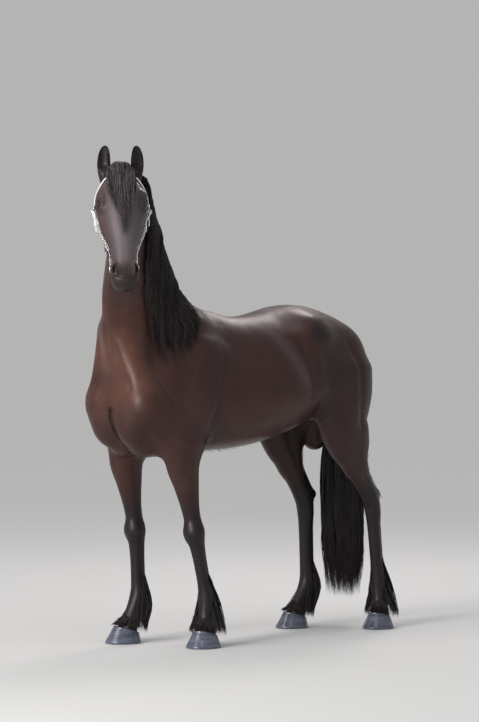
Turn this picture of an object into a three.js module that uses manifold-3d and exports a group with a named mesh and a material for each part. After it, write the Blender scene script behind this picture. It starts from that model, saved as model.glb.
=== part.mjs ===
// A life-size Friesian horse standing still, head high and turned to its left, in a white show bridle.
// Millimetres, +Z up. The horse faces -X and its left side faces -Y.
// The flesh is one smooth form, described by ovals swept along the limbs, neck and trunk and by the
// muscles over them, and each named part is the piece of that form between its cuts.
import * as THREE from "three";
import { mergeVertices } from "three/addons/utils/BufferGeometryUtils.js";
import Module from "manifold-3d";

const wasm = await Module();
wasm.setup();

// Driving dimensions
const HEAD_LENGTH = 604; // poll to upper lip
const HEAD_YAW = 54; // degrees that the head is turned to the left
const HEAD_PITCH = 39; // degrees that the face leans forward of upright
const GAP = 0.3; // left between parts that touch
const FEATHER_TIP = 52; // height of the feathers' longest hair above the floor
const TAIL_TIP = 138; // height of the tail's longest hair above the floor
const LEFT = -1;
const RIGHT = 1;

// Vector helpers on plain [x, y, z] arrays
const add = (a, b) => [a[0] + b[0], a[1] + b[1], a[2] + b[2]];
const sub = (a, b) => [a[0] - b[0], a[1] - b[1], a[2] - b[2]];
const mul = (a, s) => [a[0] * s, a[1] * s, a[2] * s];
const dot = (a, b) => a[0] * b[0] + a[1] * b[1] + a[2] * b[2];
const cross = (a, b) => [
  a[1] * b[2] - a[2] * b[1],
  a[2] * b[0] - a[0] * b[2],
  a[0] * b[1] - a[1] * b[0],
];
const length = (a) => Math.hypot(a[0], a[1], a[2]);
const unit = (a) => mul(a, 1 / length(a));
const mix = (a, b, t) => add(mul(a, 1 - t), mul(b, t));
const radians = THREE.MathUtils.degToRad;

// The smaller of two distances, rounded over where they are within k of each other.
function blendMin(a, b, k) {
  const h = Math.max(k - Math.abs(a - b), 0) / k;
  return Math.min(a, b) - (h * h * k) / 4;
}

// Catmull-Rom value at t between b and c.
function spline(a, b, c, d, t) {
  const m0 = (c - a) / 2;
  const m1 = (d - b) / 2;
  const t2 = t * t;
  const t3 = t2 * t;
  return (2 * t3 - 3 * t2 + 1) * b + (t3 - 2 * t2 + t) * m0 + (3 * t2 - 2 * t3) * c + (t3 - t2) * m1;
}

// An oval carried along a line. Each station is {at, wide, up, down, side, peak}: the oval's centre,
// half width, its reach to either side of the centre, the direction of its width, and how square
// its upper half is (2 is round, less is peaked).
const STEPS = 6;
function sweep(stations, { side = [0, 1, 0], cap = 1 } = {}) {
  const full = stations.map((s) => ({ side, peak: 2, ...s, down: s.down ?? s.up }));
  const rows = [];
  const last = full.length - 1;
  for (let i = 0; i < last; i += 1) {
    const four = [i - 1, i, i + 1, i + 2].map((j) => full[Math.min(Math.max(j, 0), last)]);
    for (let k = 0; k < STEPS + (i === last - 1 ? 1 : 0); k += 1) {
      const t = k / STEPS;
      const value = (read) => spline(...four.map(read), t);
      rows.push({
        at: [0, 1, 2].map((j) => value((s) => s.at[j])),
        wide: value((s) => s.wide),
        up: value((s) => s.up),
        down: value((s) => s.down),
        peak: value((s) => s.peak),
        side: unit(mix(four[1].side, four[2].side, t)),
      });
    }
  }
  const lo = [0, 1, 2].map((j) => Math.min(...rows.map((r) => r.at[j] - Math.max(r.wide, r.up, r.down))));
  const hi = [0, 1, 2].map((j) => Math.max(...rows.map((r) => r.at[j] + Math.max(r.wide, r.up, r.down))));
  const links = rows.slice(1).map((b, i) => {
    const along = sub(b.at, rows[i].at);
    return { a: rows[i], b, along, size: dot(along, along), way: unit(along) };
  });
  const distance = (p) => {
    let best = Infinity;
    let link = null;
    let share = 0;
    for (const l of links) {
      const t = Math.min(Math.max(dot(sub(p, l.a.at), l.along) / l.size, 0), 1);
      const off = sub(p, add(l.a.at, mul(l.along, t)));
      const d = dot(off, off);
      if (d < best) {
        best = d;
        link = l;
        share = t;
      }
    }
    const { a, b, way } = link;
    const value = (name) => a[name] * (1 - share) + b[name] * share;
    const off = sub(p, mix(a.at, b.at, share));
    const across = unit(sub(mix(a.side, b.side, share), mul(way, dot(mix(a.side, b.side, share), way))));
    const rise = cross(way, across);
    const u = dot(off, across);
    const v = dot(off, rise);
    const w = dot(off, way);
    const wide = value("wide");
    const tall = v > 0 ? value("up") : value("down");
    const end = Math.min(wide, tall) * cap;
    return ovalDistance(u, v, w, wide, tall, end, v > 0 ? value("peak") : 2);
  };
  return { distance, lo, hi };
}

// About how far (u, v, w) is outside the oval with half sizes a, b, c. n is how square it is.
function ovalDistance(u, v, w, a, b, c, n) {
  const x = Math.abs(u) / a;
  const y = Math.abs(v) / b;
  const z = Math.abs(w) / c;
  const size = (x ** n + y ** n + z ** n) ** (1 / n);
  if (size < 1e-6) return -Math.min(a, b);
  const slope = (q, r) => ((q / size) ** (n - 1)) / r;
  return (size - 1) / Math.hypot(slope(x, a), slope(y, b), slope(z, c));
}

// A muscle: an oval drawn out from one end to the other, flattened along one direction.
function muscle(from, to, r0, r1, flat = 1, normal = [0, 1, 0]) {
  const along = sub(to, from);
  const size = dot(along, along) || 1;
  const n = unit(normal);
  const big = Math.max(r0, r1);
  const distance = (p) => {
    const rel = sub(p, from);
    const t = Math.min(Math.max(dot(rel, along) / size, 0), 1);
    const off = sub(rel, mul(along, t));
    const thin = dot(off, n);
    const flatOff = add(off, mul(n, thin * (1 / flat - 1)));
    const reach = length(flatOff);
    if (reach < 1e-6) return -Math.min(r0, r1) * flat;
    const way = mul(flatOff, 1 / reach);
    const slope = Math.hypot(length(sub(way, mul(n, dot(way, n)))), dot(way, n) / flat);
    return (reach - (r0 + (r1 - r0) * t)) / slope;
  };
  const lo = [0, 1, 2].map((j) => Math.min(from[j], to[j]) - big);
  const hi = [0, 1, 2].map((j) => Math.max(from[j], to[j]) + big);
  return { distance, lo, hi };
}

// An oval body with half sizes along three directions.
function oval(at, sizes, axes = [[1, 0, 0], [0, 1, 0], [0, 0, 1]]) {
  const big = Math.max(...sizes);
  const distance = (p) => {
    const rel = sub(p, at);
    return ovalDistance(dot(rel, axes[0]), dot(rel, axes[1]), dot(rel, axes[2]), ...sizes, 2);
  };
  return { distance, lo: sub(at, [big, big, big]), hi: add(at, [big, big, big]) };
}

// The trunk: straight from the breast to the buttocks.
function trunkForms() {
  const station = (x, level, wide, top, bottom, peak = 2) => ({
    at: [x, 0, level],
    wide,
    up: top - level,
    down: level - bottom,
    peak,
  });
  const barrel = sweep([
    station(70, 1120, 130, 1240, 990, 1.7),
    station(160, 1150, 190, 1380, 925, 1.5),
    station(300, 1180, 222, 1530, 905, 1.35),
    station(450, 1190, 242, 1606, 900, 1.3),
    station(560, 1190, 262, 1577, 902, 1.45),
    station(690, 1180, 284, 1547, 908, 1.75),
    station(820, 1180, 294, 1545, 924, 2),
    station(950, 1195, 290, 1562, 955, 2.15),
    station(1060, 1220, 278, 1588, 995, 2.05),
    station(1175, 1250, 266, 1602, 1040, 1.95),
    station(1290, 1260, 246, 1572, 1070, 1.9),
    station(1390, 1250, 208, 1500, 1090),
    station(1465, 1240, 148, 1405, 1120),
  ], { cap: 0.55 });
  const forms = [[barrel, 1]];
  for (const s of [LEFT, RIGHT]) {
    const muscles = [
      [muscle([440, s * 92, 1450], [160, s * 158, 1130], 88, 105, 0.6), 80],
      [muscle([450, s * 158, 1320], [345, s * 165, 1010], 120, 105, 0.55), 70],
      [muscle([110, s * 162, 1110], [270, s * 165, 985], 92, 95, 0.8), 50],
      [oval([68, s * 86, 1075], [80, 92, 130]), 40],
      [muscle([150, s * 70, 960], [330, s * 80, 960], 72, 60), 60],
      [muscle([50, s * 45, 1480], [88, s * 138, 1180], 58, 76), 70],
      [oval([1095, s * 195, 1448], [90, 52, 80]), 90],
      [muscle([1080, s * 104, 1452], [1370, s * 100, 1380], 98, 96), 90],
      [muscle([1395, s * 92, 1335], [1432, s * 108, 1180], 92, 84), 70],
    ];
    forms.push(...muscles);
  }
  return forms;
}

// The head's own frame: l runs from the poll to the lips, f towards the face, w to its right.
const yaw = radians(HEAD_YAW);
const pitch = radians(HEAD_PITCH);
const ahead = [-Math.cos(yaw), -Math.sin(yaw), 0];
const POLL = [-44, -134, 2206];
const headL = add(mul(ahead, Math.sin(pitch)), [0, 0, -Math.cos(pitch)]);
const headF = add(mul(ahead, Math.cos(pitch)), [0, 0, Math.sin(pitch)]);
const headW = [-Math.sin(yaw), Math.cos(yaw), 0];
const headScale = HEAD_LENGTH / 625; // the stations below are for a head 625 long
const onHead = (l, f, w) =>
  add(POLL, mul(add(add(mul(headL, l), mul(headF, f)), mul(headW, w)), headScale));

// The neck rises from the trunk and turns with the head.
function neckForms() {
  const turn = (t) => unit(mix([0, 1, 0], headW, t));
  const neck = sweep([
    { at: [340, 0, 1300], wide: 155, up: 200, down: 220, side: turn(0) },
    { at: [255, 0, 1425], wide: 128, up: 280, down: 258, side: turn(0.05), peak: 1.8 },
    { at: [172, -12, 1590], wide: 106, up: 252, down: 226, side: turn(0.15), peak: 1.7 },
    { at: [115, -38, 1750], wide: 94, up: 244, down: 190, side: turn(0.3), peak: 1.7 },
    { at: [68, -74, 1900], wide: 85, up: 222, down: 158, side: turn(0.5), peak: 1.8 },
    { at: [34, -102, 2030], wide: 78, up: 176, down: 122, side: turn(0.7), peak: 1.9 },
    { at: [6, -114, 2125], wide: 72, up: 116, down: 90, side: turn(0.9) },
  ]);
  return [[neck, 90]];
}

function headForms() {
  const station = (l, middle, wide, top, bottom) => ({
    at: onHead(l, middle, 0),
    wide,
    up: top - middle,
    down: middle - bottom,
  });
  const skull = sweep([
    station(-5, -25, 62, 22, -85),
    station(60, -32, 97, 46, -130),
    station(130, -36, 118, 62, -150),
    station(200, -38, 119, 66, -150),
    station(270, -42, 104, 60, -145),
    station(340, -46, 84, 50, -135),
    station(420, -52, 62, 36, -125),
    station(500, -58, 56, 19, -120),
    station(560, -64, 56, 2, -112),
    station(598, -70, 47, -24, -108),
  ], { side: headW, cap: 0.6 });
  const jaw = sweep([
    station(150, -140, 52, -90, -190),
    station(225, -155, 62, -90, -215),
    station(310, -150, 46, -100, -200),
    station(410, -134, 33, -98, -172),
    station(500, -126, 31, -96, -154),
    station(572, -122, 35, -98, -150),
  ], { side: headW });
  const forms = [[skull, 30], [jaw, 25]];
  for (const s of [LEFT, RIGHT]) {
    const axes = [headL, headW, headF];
    forms.push(
      [oval(onHead(230, -118, s * 60), [112, 38, 92], axes), 30],
      [muscle(onHead(158, 22, s * 97), onHead(222, 20, s * 99), 22, 20), 22],
      [muscle(onHead(245, -52, s * 86), onHead(370, -58, s * 60), 15, 10), 18],
      [oval(onHead(556, -48, s * 42), [38, 22, 30], axes), 20],
    );
  }
  return forms;
}

// A leg's own frame at a height: its width runs across its heading.
const across = (heading) => [-Math.sin(heading), Math.cos(heading), 0];

// A fore leg from the elbow to the coronet. Its joints are given, and toe is how far, in degrees,
// the foot points out from straight ahead.
function foreLeg({ s, elbow, knee, fetlock, hoof, toe }) {
  const heading = radians(180 - s * toe) - Math.PI;
  const side = across(heading);
  const forward = [-Math.cos(heading), -Math.sin(heading), 0];
  const down = (t) => mix(elbow, knee, t);
  const cannon = (t) => mix(knee, fetlock, t);
  const coronet = add([hoof[0], hoof[1], 66], mul(forward, -14));
  const leg = sweep([
    { at: add(elbow, [10, 0, 60]), wide: 74, up: 108, down: 108 },
    { at: down(0.1), wide: 66, up: 92, down: 88 },
    { at: down(0.35), wide: 54, up: 70, down: 66 },
    { at: down(0.65), wide: 43, up: 49, down: 46 },
    { at: down(0.86), wide: 41, up: 43, down: 43 },
    { at: down(1), wide: 49, up: 50, down: 46, side },
    { at: cannon(0.2), wide: 38, up: 39, down: 43, side },
    { at: cannon(0.45), wide: 32, up: 34, down: 41, side },
    { at: cannon(0.78), wide: 32, up: 34, down: 42, side },
    { at: cannon(1), wide: 41, up: 40, down: 46, side },
    { at: mix(fetlock, coronet, 0.5), wide: 38, up: 38, down: 40, side },
    { at: coronet, wide: 54, up: 50, down: 46, side },
  ].map((row) => ({ ...row, up: row.down, down: row.up })), { cap: 0.5 });
  const knob = oval(add(knee, add(mul(forward, 12), [0, 0, 4])), [40, 47, 52]);
  return { s, forms: [[leg, 50], [knob, 30]], coronet, hoof, forward, side, fetlock, knee, toe };
}

// A hind leg from the thigh to the coronet.
function hindLeg({ s, hip, stifle, hock, fetlock, hoof, toe }) {
  const heading = radians(180 - s * toe) - Math.PI;
  const side = across(heading);
  const forward = [-Math.cos(heading), -Math.sin(heading), 0];
  const shank = (t) => mix(stifle, hock, t);
  const cannon = (t) => mix(hock, fetlock, t);
  const coronet = add([hoof[0], hoof[1], 66], mul(forward, -14));
  const swap = (row) => ({ ...row, up: row.down, down: row.up });
  const leg = sweep([
    { at: mix(hip, stifle, 0.1), wide: 100, up: 190, down: 200 },
    { at: mix(hip, stifle, 0.5), wide: 100, up: 178, down: 190 },
    { at: mix(hip, stifle, 0.88), wide: 88, up: 128, down: 150 },
    { at: shank(0.2), wide: 72, up: 98, down: 108 },
    { at: shank(0.45), wide: 56, up: 68, down: 70 },
    { at: shank(0.72), wide: 43, up: 48, down: 52 },
    { at: shank(0.95), wide: 42, up: 46, down: 52, side },
    { at: cannon(0.12), wide: 40, up: 42, down: 48, side },
    { at: cannon(0.32), wide: 34, up: 37, down: 43, side },
    { at: cannon(0.78), wide: 33, up: 36, down: 42, side },
    { at: cannon(1), wide: 41, up: 40, down: 46, side },
    { at: mix(fetlock, coronet, 0.5), wide: 38, up: 38, down: 40, side },
    { at: coronet, wide: 52, up: 50, down: 46, side },
  ].map(swap), { cap: 0.6 });
  const heel = add(hock, add(mul(forward, -44), [0, 0, 42]));
  const point = muscle(mix(hock, shank(0.55), 0.15), heel, 26, 22, 0.8, side);
  const tendon = muscle(heel, add(shank(0.45), mul(forward, -52)), 17, 26, 0.7, side);
  const calf = muscle(add(shank(0.02), [95, 0, 0]), shank(0.5), 70, 52, 0.75);
  const forms = [[leg, 60], [point, 22], [tendon, 20], [calf, 40]];
  return { s, forms, coronet, hoof, forward, side, fetlock, hock, stifle, toe };
}

const legs = {
  fore_left: foreLeg({
    s: LEFT, elbow: [303, -165, 890], knee: [368, -180, 537], fetlock: [428, -194, 236],
    hoof: [402, -208, 0], toe: 20,
  }),
  fore_right: foreLeg({
    s: RIGHT, elbow: [235, 160, 890], knee: [300, 165, 533], fetlock: [320, 173, 226],
    hoof: [252, 186, 0], toe: 8,
  }),
  hind_left: hindLeg({
    s: LEFT, hip: [1330, -165, 1320], stifle: [1300, -180, 985], hock: [1556, -148, 622],
    fetlock: [1604, -142, 235], hoof: [1592, -158, 0], toe: 20,
  }),
  hind_right: hindLeg({
    s: RIGHT, hip: [1300, 165, 1320], stifle: [1205, 180, 985], hock: [1373, 140, 613],
    fetlock: [1386, 140, 220], hoof: [1300, 142, 0], toe: 6,
  }),
};

// Every form of the flesh with the width of its blend into the ones before it.
const FLESH = [
  ...trunkForms(),
  ...neckForms(),
  ...Object.values(legs).flatMap((leg) => leg.forms),
  ...headForms(),
].map(([form, blend]) => ({ ...form, blend }));

const FAR = 400;
function fleshDistance(p, forms) {
  let d = FAR;
  for (const f of forms) {
    d = blendMin(d, f.distance(p), f.blend);
  }
  return d;
}

// Where a grid square has two opposite corners inside and two outside, the outer one that is nearest
// the surface is counted as inside, so that no two sheets of the surface meet along one edge.
function joinCorners(value, [nx, ny, nz], index) {
  const squares = [[[1, 0, 0], [0, 1, 0]], [[0, 1, 0], [0, 0, 1]], [[0, 0, 1], [1, 0, 0]]];
  for (let pass = 0; pass < 3; pass += 1)
    for (let i = 1; i < nx - 2; i += 1)
      for (let j = 1; j < ny - 2; j += 1)
        for (let k = 1; k < nz - 2; k += 1)
          for (const [u, v] of squares) {
            const four = [[i, j, k], add([i, j, k], u), add(add([i, j, k], u), v), add([i, j, k], v)]
              .map((c) => index(...c));
            const [a, b, c, d] = four.map((q) => value[q] < 0);
            if (a !== c || b !== d || a === b) continue;
            const outer = four.filter((q) => value[q] >= 0).sort((q, r) => value[q] - value[r]);
            value[outer[0]] = -0.01;
          }
}

// A closed mesh of the surface where a distance is zero, on a grid of cells inside a box: one
// vertex in each cell that the surface crosses, and one quad across each edge that it crosses.
function skinOf(distance, lo, hi, cell) {
  const count = [0, 1, 2].map((j) => Math.ceil((hi[j] - lo[j]) / cell[j]) + 1);
  const place = (i, j) => lo[j] + i * cell[j];
  const [nx, ny, nz] = count;
  const index = (i, j, k) => (i * ny + j) * nz + k;
  const value = new Float64Array(nx * ny * nz);
  for (let i = 0; i < nx; i += 1)
    for (let j = 0; j < ny; j += 1)
      for (let k = 0; k < nz; k += 1) {
        const rim = i === 0 || j === 0 || k === 0 || i === nx - 1 || j === ny - 1 || k === nz - 1;
        const d = distance([place(i, 0), place(j, 1), place(k, 2)]);
        value[index(i, j, k)] = rim ? Math.max(d, 1) : d;
      }
  joinCorners(value, count, index);
  const points = [];
  const cellPoint = new Map();
  for (let i = 0; i < nx - 1; i += 1)
    for (let j = 0; j < ny - 1; j += 1)
      for (let k = 0; k < nz - 1; k += 1) {
        const corner = (c) => [i + (c & 1), j + ((c >> 1) & 1), k + (c >> 2)];
        const sum = [0, 0, 0];
        let hits = 0;
        for (let c = 0; c < 8; c += 1)
          for (const bit of [1, 2, 4]) {
            if (c & bit) continue;
            const a = corner(c);
            const b = corner(c | bit);
            const va = value[index(...a)];
            const vb = value[index(...b)];
            if (va < 0 === vb < 0) continue;
            const t = va / (va - vb);
            for (let q = 0; q < 3; q += 1) sum[q] += place(a[q] + (b[q] - a[q]) * t, q);
            hits += 1;
          }
        if (!hits) continue;
        cellPoint.set(index(i, j, k), points.length);
        points.push(mul(sum, 1 / hits));
      }
  const settled = points.map((p) => {
    const e = 1;
    const d = distance(p);
    const slope = [0, 1, 2].map((q) => {
      const step = [0, 0, 0];
      step[q] = e;
      return (distance(add(p, step)) - distance(sub(p, step))) / (2 * e);
    });
    const size = dot(slope, slope);
    const most = Math.min(...cell) / 2;
    const move = size > 1e-4 ? Math.min(Math.max(d / size, -most), most) : 0;
    return sub(p, mul(slope, move));
  });
  const faces = [];
  for (let i = 0; i < nx - 1; i += 1)
    for (let j = 0; j < ny - 1; j += 1)
      for (let k = 0; k < nz - 1; k += 1) {
        const inside = value[index(i, j, k)] < 0;
        const rings = [
          [[i + 1, j, k], [[i, j - 1, k - 1], [i, j, k - 1], [i, j, k], [i, j - 1, k]]],
          [[i, j + 1, k], [[i - 1, j, k - 1], [i - 1, j, k], [i, j, k], [i, j, k - 1]]],
          [[i, j, k + 1], [[i - 1, j - 1, k], [i, j - 1, k], [i, j, k], [i - 1, j, k]]],
        ];
        for (const [next, ring] of rings) {
          if (value[index(...next)] < 0 === inside) continue;
          const q = ring.map((c) => cellPoint.get(index(...c)));
          const quad = inside ? q : [q[3], q[2], q[1], q[0]];
          const split = length(sub(settled[quad[0]], settled[quad[2]])) <
            length(sub(settled[quad[1]], settled[quad[3]]));
          faces.push(...(split
            ? [quad[0], quad[1], quad[2], quad[0], quad[2], quad[3]]
            : [quad[1], quad[2], quad[3], quad[1], quad[3], quad[0]]));
        }
      }
  return geometryOf(settled.flat(), faces);
}

function geometryOf(positions, faces) {
  const g = new THREE.BufferGeometry();
  g.setAttribute("position", new THREE.Float32BufferAttribute(positions, 3));
  g.setIndex(faces);
  return g;
}

// A geometry as a solid, and a solid as a geometry.
function solidOf(geometry) {
  const g = geometry.clone();
  for (const name of Object.keys(g.attributes)) if (name !== "position") g.deleteAttribute(name);
  const merged = mergeVertices(g, 1e-3);
  return new wasm.Manifold(new wasm.Mesh({
    numProp: 3,
    vertProperties: merged.attributes.position.array,
    triVerts: new Uint32Array(merged.index.array),
  }));
}

function fromSolid(solid) {
  const m = solid.getMesh();
  const positions = [];
  for (let i = 0; i < m.numVert; i += 1)
    positions.push(...m.vertProperties.subarray(i * m.numProp, i * m.numProp + 3));
  return geometryOf(positions, [...m.triVerts]);
}

// The largest closed surface of a solid.
function largest(solid) {
  return solid.decompose().sort((a, b) => b.volume() - a.volume())[0];
}

// A big block whose one face passes through a point, and which lies on the side of its normal.
const BIG = 8000;
function halfSpace(point, normal) {
  const block = new THREE.BoxGeometry(BIG, BIG, BIG).translate(0, 0, BIG / 2);
  const turn = new THREE.Quaternion().setFromUnitVectors(
    new THREE.Vector3(0, 0, 1),
    new THREE.Vector3(...unit(normal)),
  );
  return solidOf(block.applyQuaternion(turn).translate(...point));
}

// The cuts between parts: each is a point and a normal that points into the first part.
const cuts = {
  head: { at: onHead(60, -120, 0), normal: unit(add(mul(headL, 0.35), mul(headF, 0.94))) },
  neck: { at: [215, 0, 1500], normal: unit([-0.55, 0, 0.835]) },
};
for (const [name, leg] of Object.entries(legs)) {
  const fore = name.startsWith("fore");
  cuts[name] = fore
    ? { at: [leg.knee[0], leg.s * 75, 902], normal: unit([0, leg.s * 0.35, -0.94]) }
    : { at: [leg.stifle[0] - 40, leg.s * 60, 960], normal: unit([0.45, leg.s * 0.45, -0.77]) };
}

// A part of the flesh: the form meshed inside its own box and cut on its planes.
function flesh(box, cell, keep) {
  const [lo, hi] = box;
  const reach = 120;
  const near = FLESH.filter((f) =>
    [0, 1, 2].every((j) => f.hi[j] > lo[j] - reach && f.lo[j] < hi[j] + reach));
  let solid = solidOf(skinOf((p) => fleshDistance(p, near), lo, hi, cell));
  for (const { at, normal, back } of keep) {
    const way = back ? mul(normal, -1) : normal;
    solid = solid.intersect(halfSpace(add(at, mul(way, GAP / 2)), way));
  }
  return largest(solid);
}

// A solid with every face moved out by a distance, to cut what lies against it clear.
function grown(solid, distance) {
  const g = fromSolid(solid);
  const flat = g.toNonIndexed();
  flat.computeVertexNormals();
  const p = g.attributes.position;
  const faceNormals = Array.from({ length: p.count }, () => []);
  for (let i = 0; i < g.index.count; i += 1) {
    const n = [0, 1, 2].map((j) => flat.attributes.normal.array[i * 3 + j]);
    faceNormals[g.index.getX(i)].push(n);
  }
  for (let i = 0; i < p.count; i += 1) {
    const all = faceNormals[i];
    const middle = unit(all.reduce((a, b) => add(a, b), [1e-9, 0, 0]));
    const least = Math.max(0.35, Math.min(...all.map((n) => dot(n, middle))));
    const move = mul(middle, distance / least);
    p.setXYZ(i, p.getX(i) + move[0], p.getY(i) + move[1], p.getZ(i) + move[2]);
  }
  return solidOf(g);
}

const clearOf = (solid, ...others) =>
  others.reduce((rest, other) => rest.subtract(grown(other, GAP * 1.5)), solid);

// A solid through rings of points, the ends closed, the last one to a tip if it is given. Rings run
// anticlockwise seen from the last one.
function loft(rings, tip = null) {
  const size = rings[0].length;
  const positions = rings.flat(2);
  const faces = [];
  for (let r = 0; r < rings.length - 1; r += 1)
    for (let i = 0; i < size; i += 1) {
      const a = r * size + i;
      const b = r * size + ((i + 1) % size);
      faces.push(a, b, b + size, a, b + size, a + size);
    }
  const first = positions.length / 3;
  const middle = (ring) => mul(ring.reduce((a, b) => add(a, b)), 1 / size);
  positions.push(...middle(rings[0]), ...(tip ?? middle(rings.at(-1))));
  const start = (rings.length - 1) * size;
  for (let i = 0; i < size; i += 1) {
    const j = (i + 1) % size;
    faces.push(first, j, i, first + 1, start + i, start + j);
  }
  return geometryOf(positions, faces);
}

const slopeOf = (p, forms = FLESH) => {
  const e = 2;
  return unit([0, 1, 2].map((q) => {
    const step = [0, 0, 0];
    step[q] = e;
    return fleshDistance(add(p, step), forms) - fleshDistance(sub(p, step), forms);
  }));
};

// Where a ray from inside the flesh comes out, at a distance above the surface.
function surfaceAt(from, way, above = 0, forms = FLESH) {
  let reach = 0;
  for (let i = 0; i < 40; i += 1) {
    const d = fleshDistance(add(from, mul(way, reach)), forms) - above;
    reach -= d * 0.8;
    if (Math.abs(d) < 0.05) break;
  }
  return add(from, mul(way, reach));
}

// The nearest point at a distance above the flesh.
function settle(p, above, forms = FLESH) {
  let q = p;
  for (let i = 0; i < 5; i += 1) q = add(q, mul(slopeOf(q, forms), above - fleshDistance(q, forms)));
  return q;
}

// Points spread evenly along a smooth line through a few, each settled on the flesh.
function laid(points, count, above = 0) {
  const curve = new THREE.CatmullRomCurve3(points.map((p) => new THREE.Vector3(...p)));
  return curve.getSpacedPoints(count - 1).map((v) => settle(v.toArray(), above));
}

// The line that hair or a ribbon takes: it leaves its root in a direction and falls, and where it
// meets the flesh it lies on it. cling is the share of its height over the flesh that it loses
// at each step, and drift is which way it leans as it falls.
function fall(root, way, size, lie = {}) {
  const { steps = 6, weight = 0.5, above = 3, cling = 0, drift = [0, 0, 0] } = lie;
  const path = [root];
  const step = size / steps;
  let heading = unit(way);
  for (let i = 0; i < steps; i += 1) {
    const from = path.at(-1);
    heading = unit(add(heading, mul(add([0, 0, -1], drift), weight)));
    let p = add(from, mul(heading, step));
    const d = fleshDistance(p, FLESH);
    const drop = (above - d) * (d < above ? 1 : cling);
    if (drop) p = add(p, mul(slopeOf(p), drop));
    heading = unit(sub(p, from));
    path.push(p);
  }
  return path;
}

// A mesh with its faces turned to point outwards, whichever way they were given.
function turnedOut(geometry) {
  const p = geometry.attributes.position;
  const index = geometry.index.array;
  const corner = (i) => [p.getX(index[i]), p.getY(index[i]), p.getZ(index[i])];
  let volume = 0;
  for (let i = 0; i < index.length; i += 3) {
    const [a, b, c] = [corner(i), corner(i + 1), corner(i + 2)];
    volume += dot(a, cross(b, c));
  }
  if (volume < 0) geometry.setIndex([...index].reverse());
  return geometry;
}

// A flat strip of a width and thickness along a path, lying on the flesh or facing a given way.
function strip(path, wide, thick, facing = null) {
  const rings = path.map((p, i) => {
    const along = unit(sub(path[Math.min(i + 1, path.length - 1)], path[Math.max(i - 1, 0)]));
    const up = facing ?? slopeOf(p);
    const side = unit(cross(along, up));
    const normal = cross(side, along);
    const corner = (a, b) => add(p, add(mul(side, (a * wide) / 2), mul(normal, (b * thick) / 2)));
    return [corner(-1, -1), corner(1, -1), corner(1, 1), corner(-1, 1)];
  });
  return turnedOut(loft(rings));
}

// A round bar or chain along a path, its thickness given at each point.
function bar(path, thickness, around = 6) {
  const rings = path.map((p, i) => {
    const along = unit(sub(path[Math.min(i + 1, path.length - 1)], path[Math.max(i - 1, 0)]));
    const side = unit(cross(along, Math.abs(along[2]) < 0.9 ? [0, 0, 1] : headW));
    const other = cross(along, side);
    return Array.from({ length: around }, (_, k) => {
      const a = (k / around) * 2 * Math.PI;
      const r = thickness(i / (path.length - 1)) / 2;
      return add(p, add(mul(side, r * Math.cos(a)), mul(other, r * Math.sin(a))));
    });
  });
  return turnedOut(loft(rings));
}

const COAT = { color: 0x2a1c1a, roughness: 0.5, metalness: 0 };
const LEG = { color: 0x121012, roughness: 0.55, metalness: 0 };
const HAIR = { color: 0x0d0b0d, roughness: 0.6, metalness: 0 };
const HORN = { color: 0x2b3040, roughness: 0.3, metalness: 0 };
const EYE = { color: 0x0a0608, roughness: 0.05, metalness: 0 };
const STRAP = { color: 0xd8d6d4, roughness: 0.45, metalness: 0 };
const METAL = { color: 0xc8c8cc, roughness: 0.25, metalness: 1 };

const group = new THREE.Group();
const solids = {};
const FINEST = 0.1; // detail smaller than this is left by cuts, and goes
const FINEST_HAIR = 0.35;
function node(name, solid, look, finest = FINEST) {
  const whole = largest(solid.isBufferGeometry ? solidOf(solid) : solid).asOriginal().simplify(finest);
  solids[name] = whole;
  const mesh = new THREE.Mesh(fromSolid(whole), new THREE.MeshStandardMaterial(look));
  mesh.name = name;
  group.add(mesh);
  return mesh;
}

// A ball or an oval with its three half sizes along given axes.
function ovalSolid(at, sizes, axes, around = 12, over = 8) {
  const g = new THREE.SphereGeometry(1, around, over);
  const m = new THREE.Matrix4().makeBasis(
    ...axes.map((axis, i) => new THREE.Vector3(...mul(axis, sizes[i]))),
  ).setPosition(...at);
  g.applyMatrix4(m);
  return solidOf(g);
}

// The hoof: round toe, open heel, its wall leaning forward, its top on the coronet's slope.
const CORONET_SLOPE = 0.3;
const CORONET = 68; // height of the coronet over the middle of the hoof
function hoof({ hoof: at, forward, side }, wide, long) {
  const around = 14;
  const outline = (scale, shift, level, slope) => Array.from({ length: around }, (_, i) => {
    const a = (i / around) * 2 * Math.PI;
    const toe = Math.cos(a);
    const u = shift + scale * toe * (toe > 0 ? long * 0.56 : long * 0.4);
    const v = scale * Math.sin(a) * (wide / 2);
    return add(add([at[0], at[1], level + slope * u], mul(forward, u)), mul(side, -v));
  });
  return loft([
    outline(0.97, 0, 0, 0),
    outline(1, 0, 8, 0),
    outline(0.86, -8, 38, 0.12),
    outline(0.74, -14, CORONET - 4, CORONET_SLOPE),
    outline(0.7, -15, CORONET, CORONET_SLOPE),
  ]);
}

const behind = (cut) => ({ ...cut, back: true });
const legBox = (leg, fore) => {
  const [low, high] = [20 * leg.s, 330 * leg.s].sort((a, b) => a - b);
  const x = (fore ? leg.knee : leg.hock)[0];
  return fore ? [[x - 260, low, 40], [x + 150, high, 1120]] : [[x - 480, low, 40], [x + 190, high, 1250]];
};

for (const [name, leg] of Object.entries(legs)) {
  const fore = name.startsWith("fore");
  const sole = {
    at: [leg.hoof[0], leg.hoof[1], CORONET + GAP],
    normal: unit(add([0, 0, 1], mul(leg.forward, -CORONET_SLOPE))),
  };
  const cell = fore ? [30, 30, 43] : [37, 34, 44];
  node(`leg_${name}`, flesh(legBox(leg, fore), cell, [cuts[name], sole]), LEG);
  node(`hoof_${name}`, hoof(leg, fore ? 150 : 142, fore ? 168 : 160), HORN);
}

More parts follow.
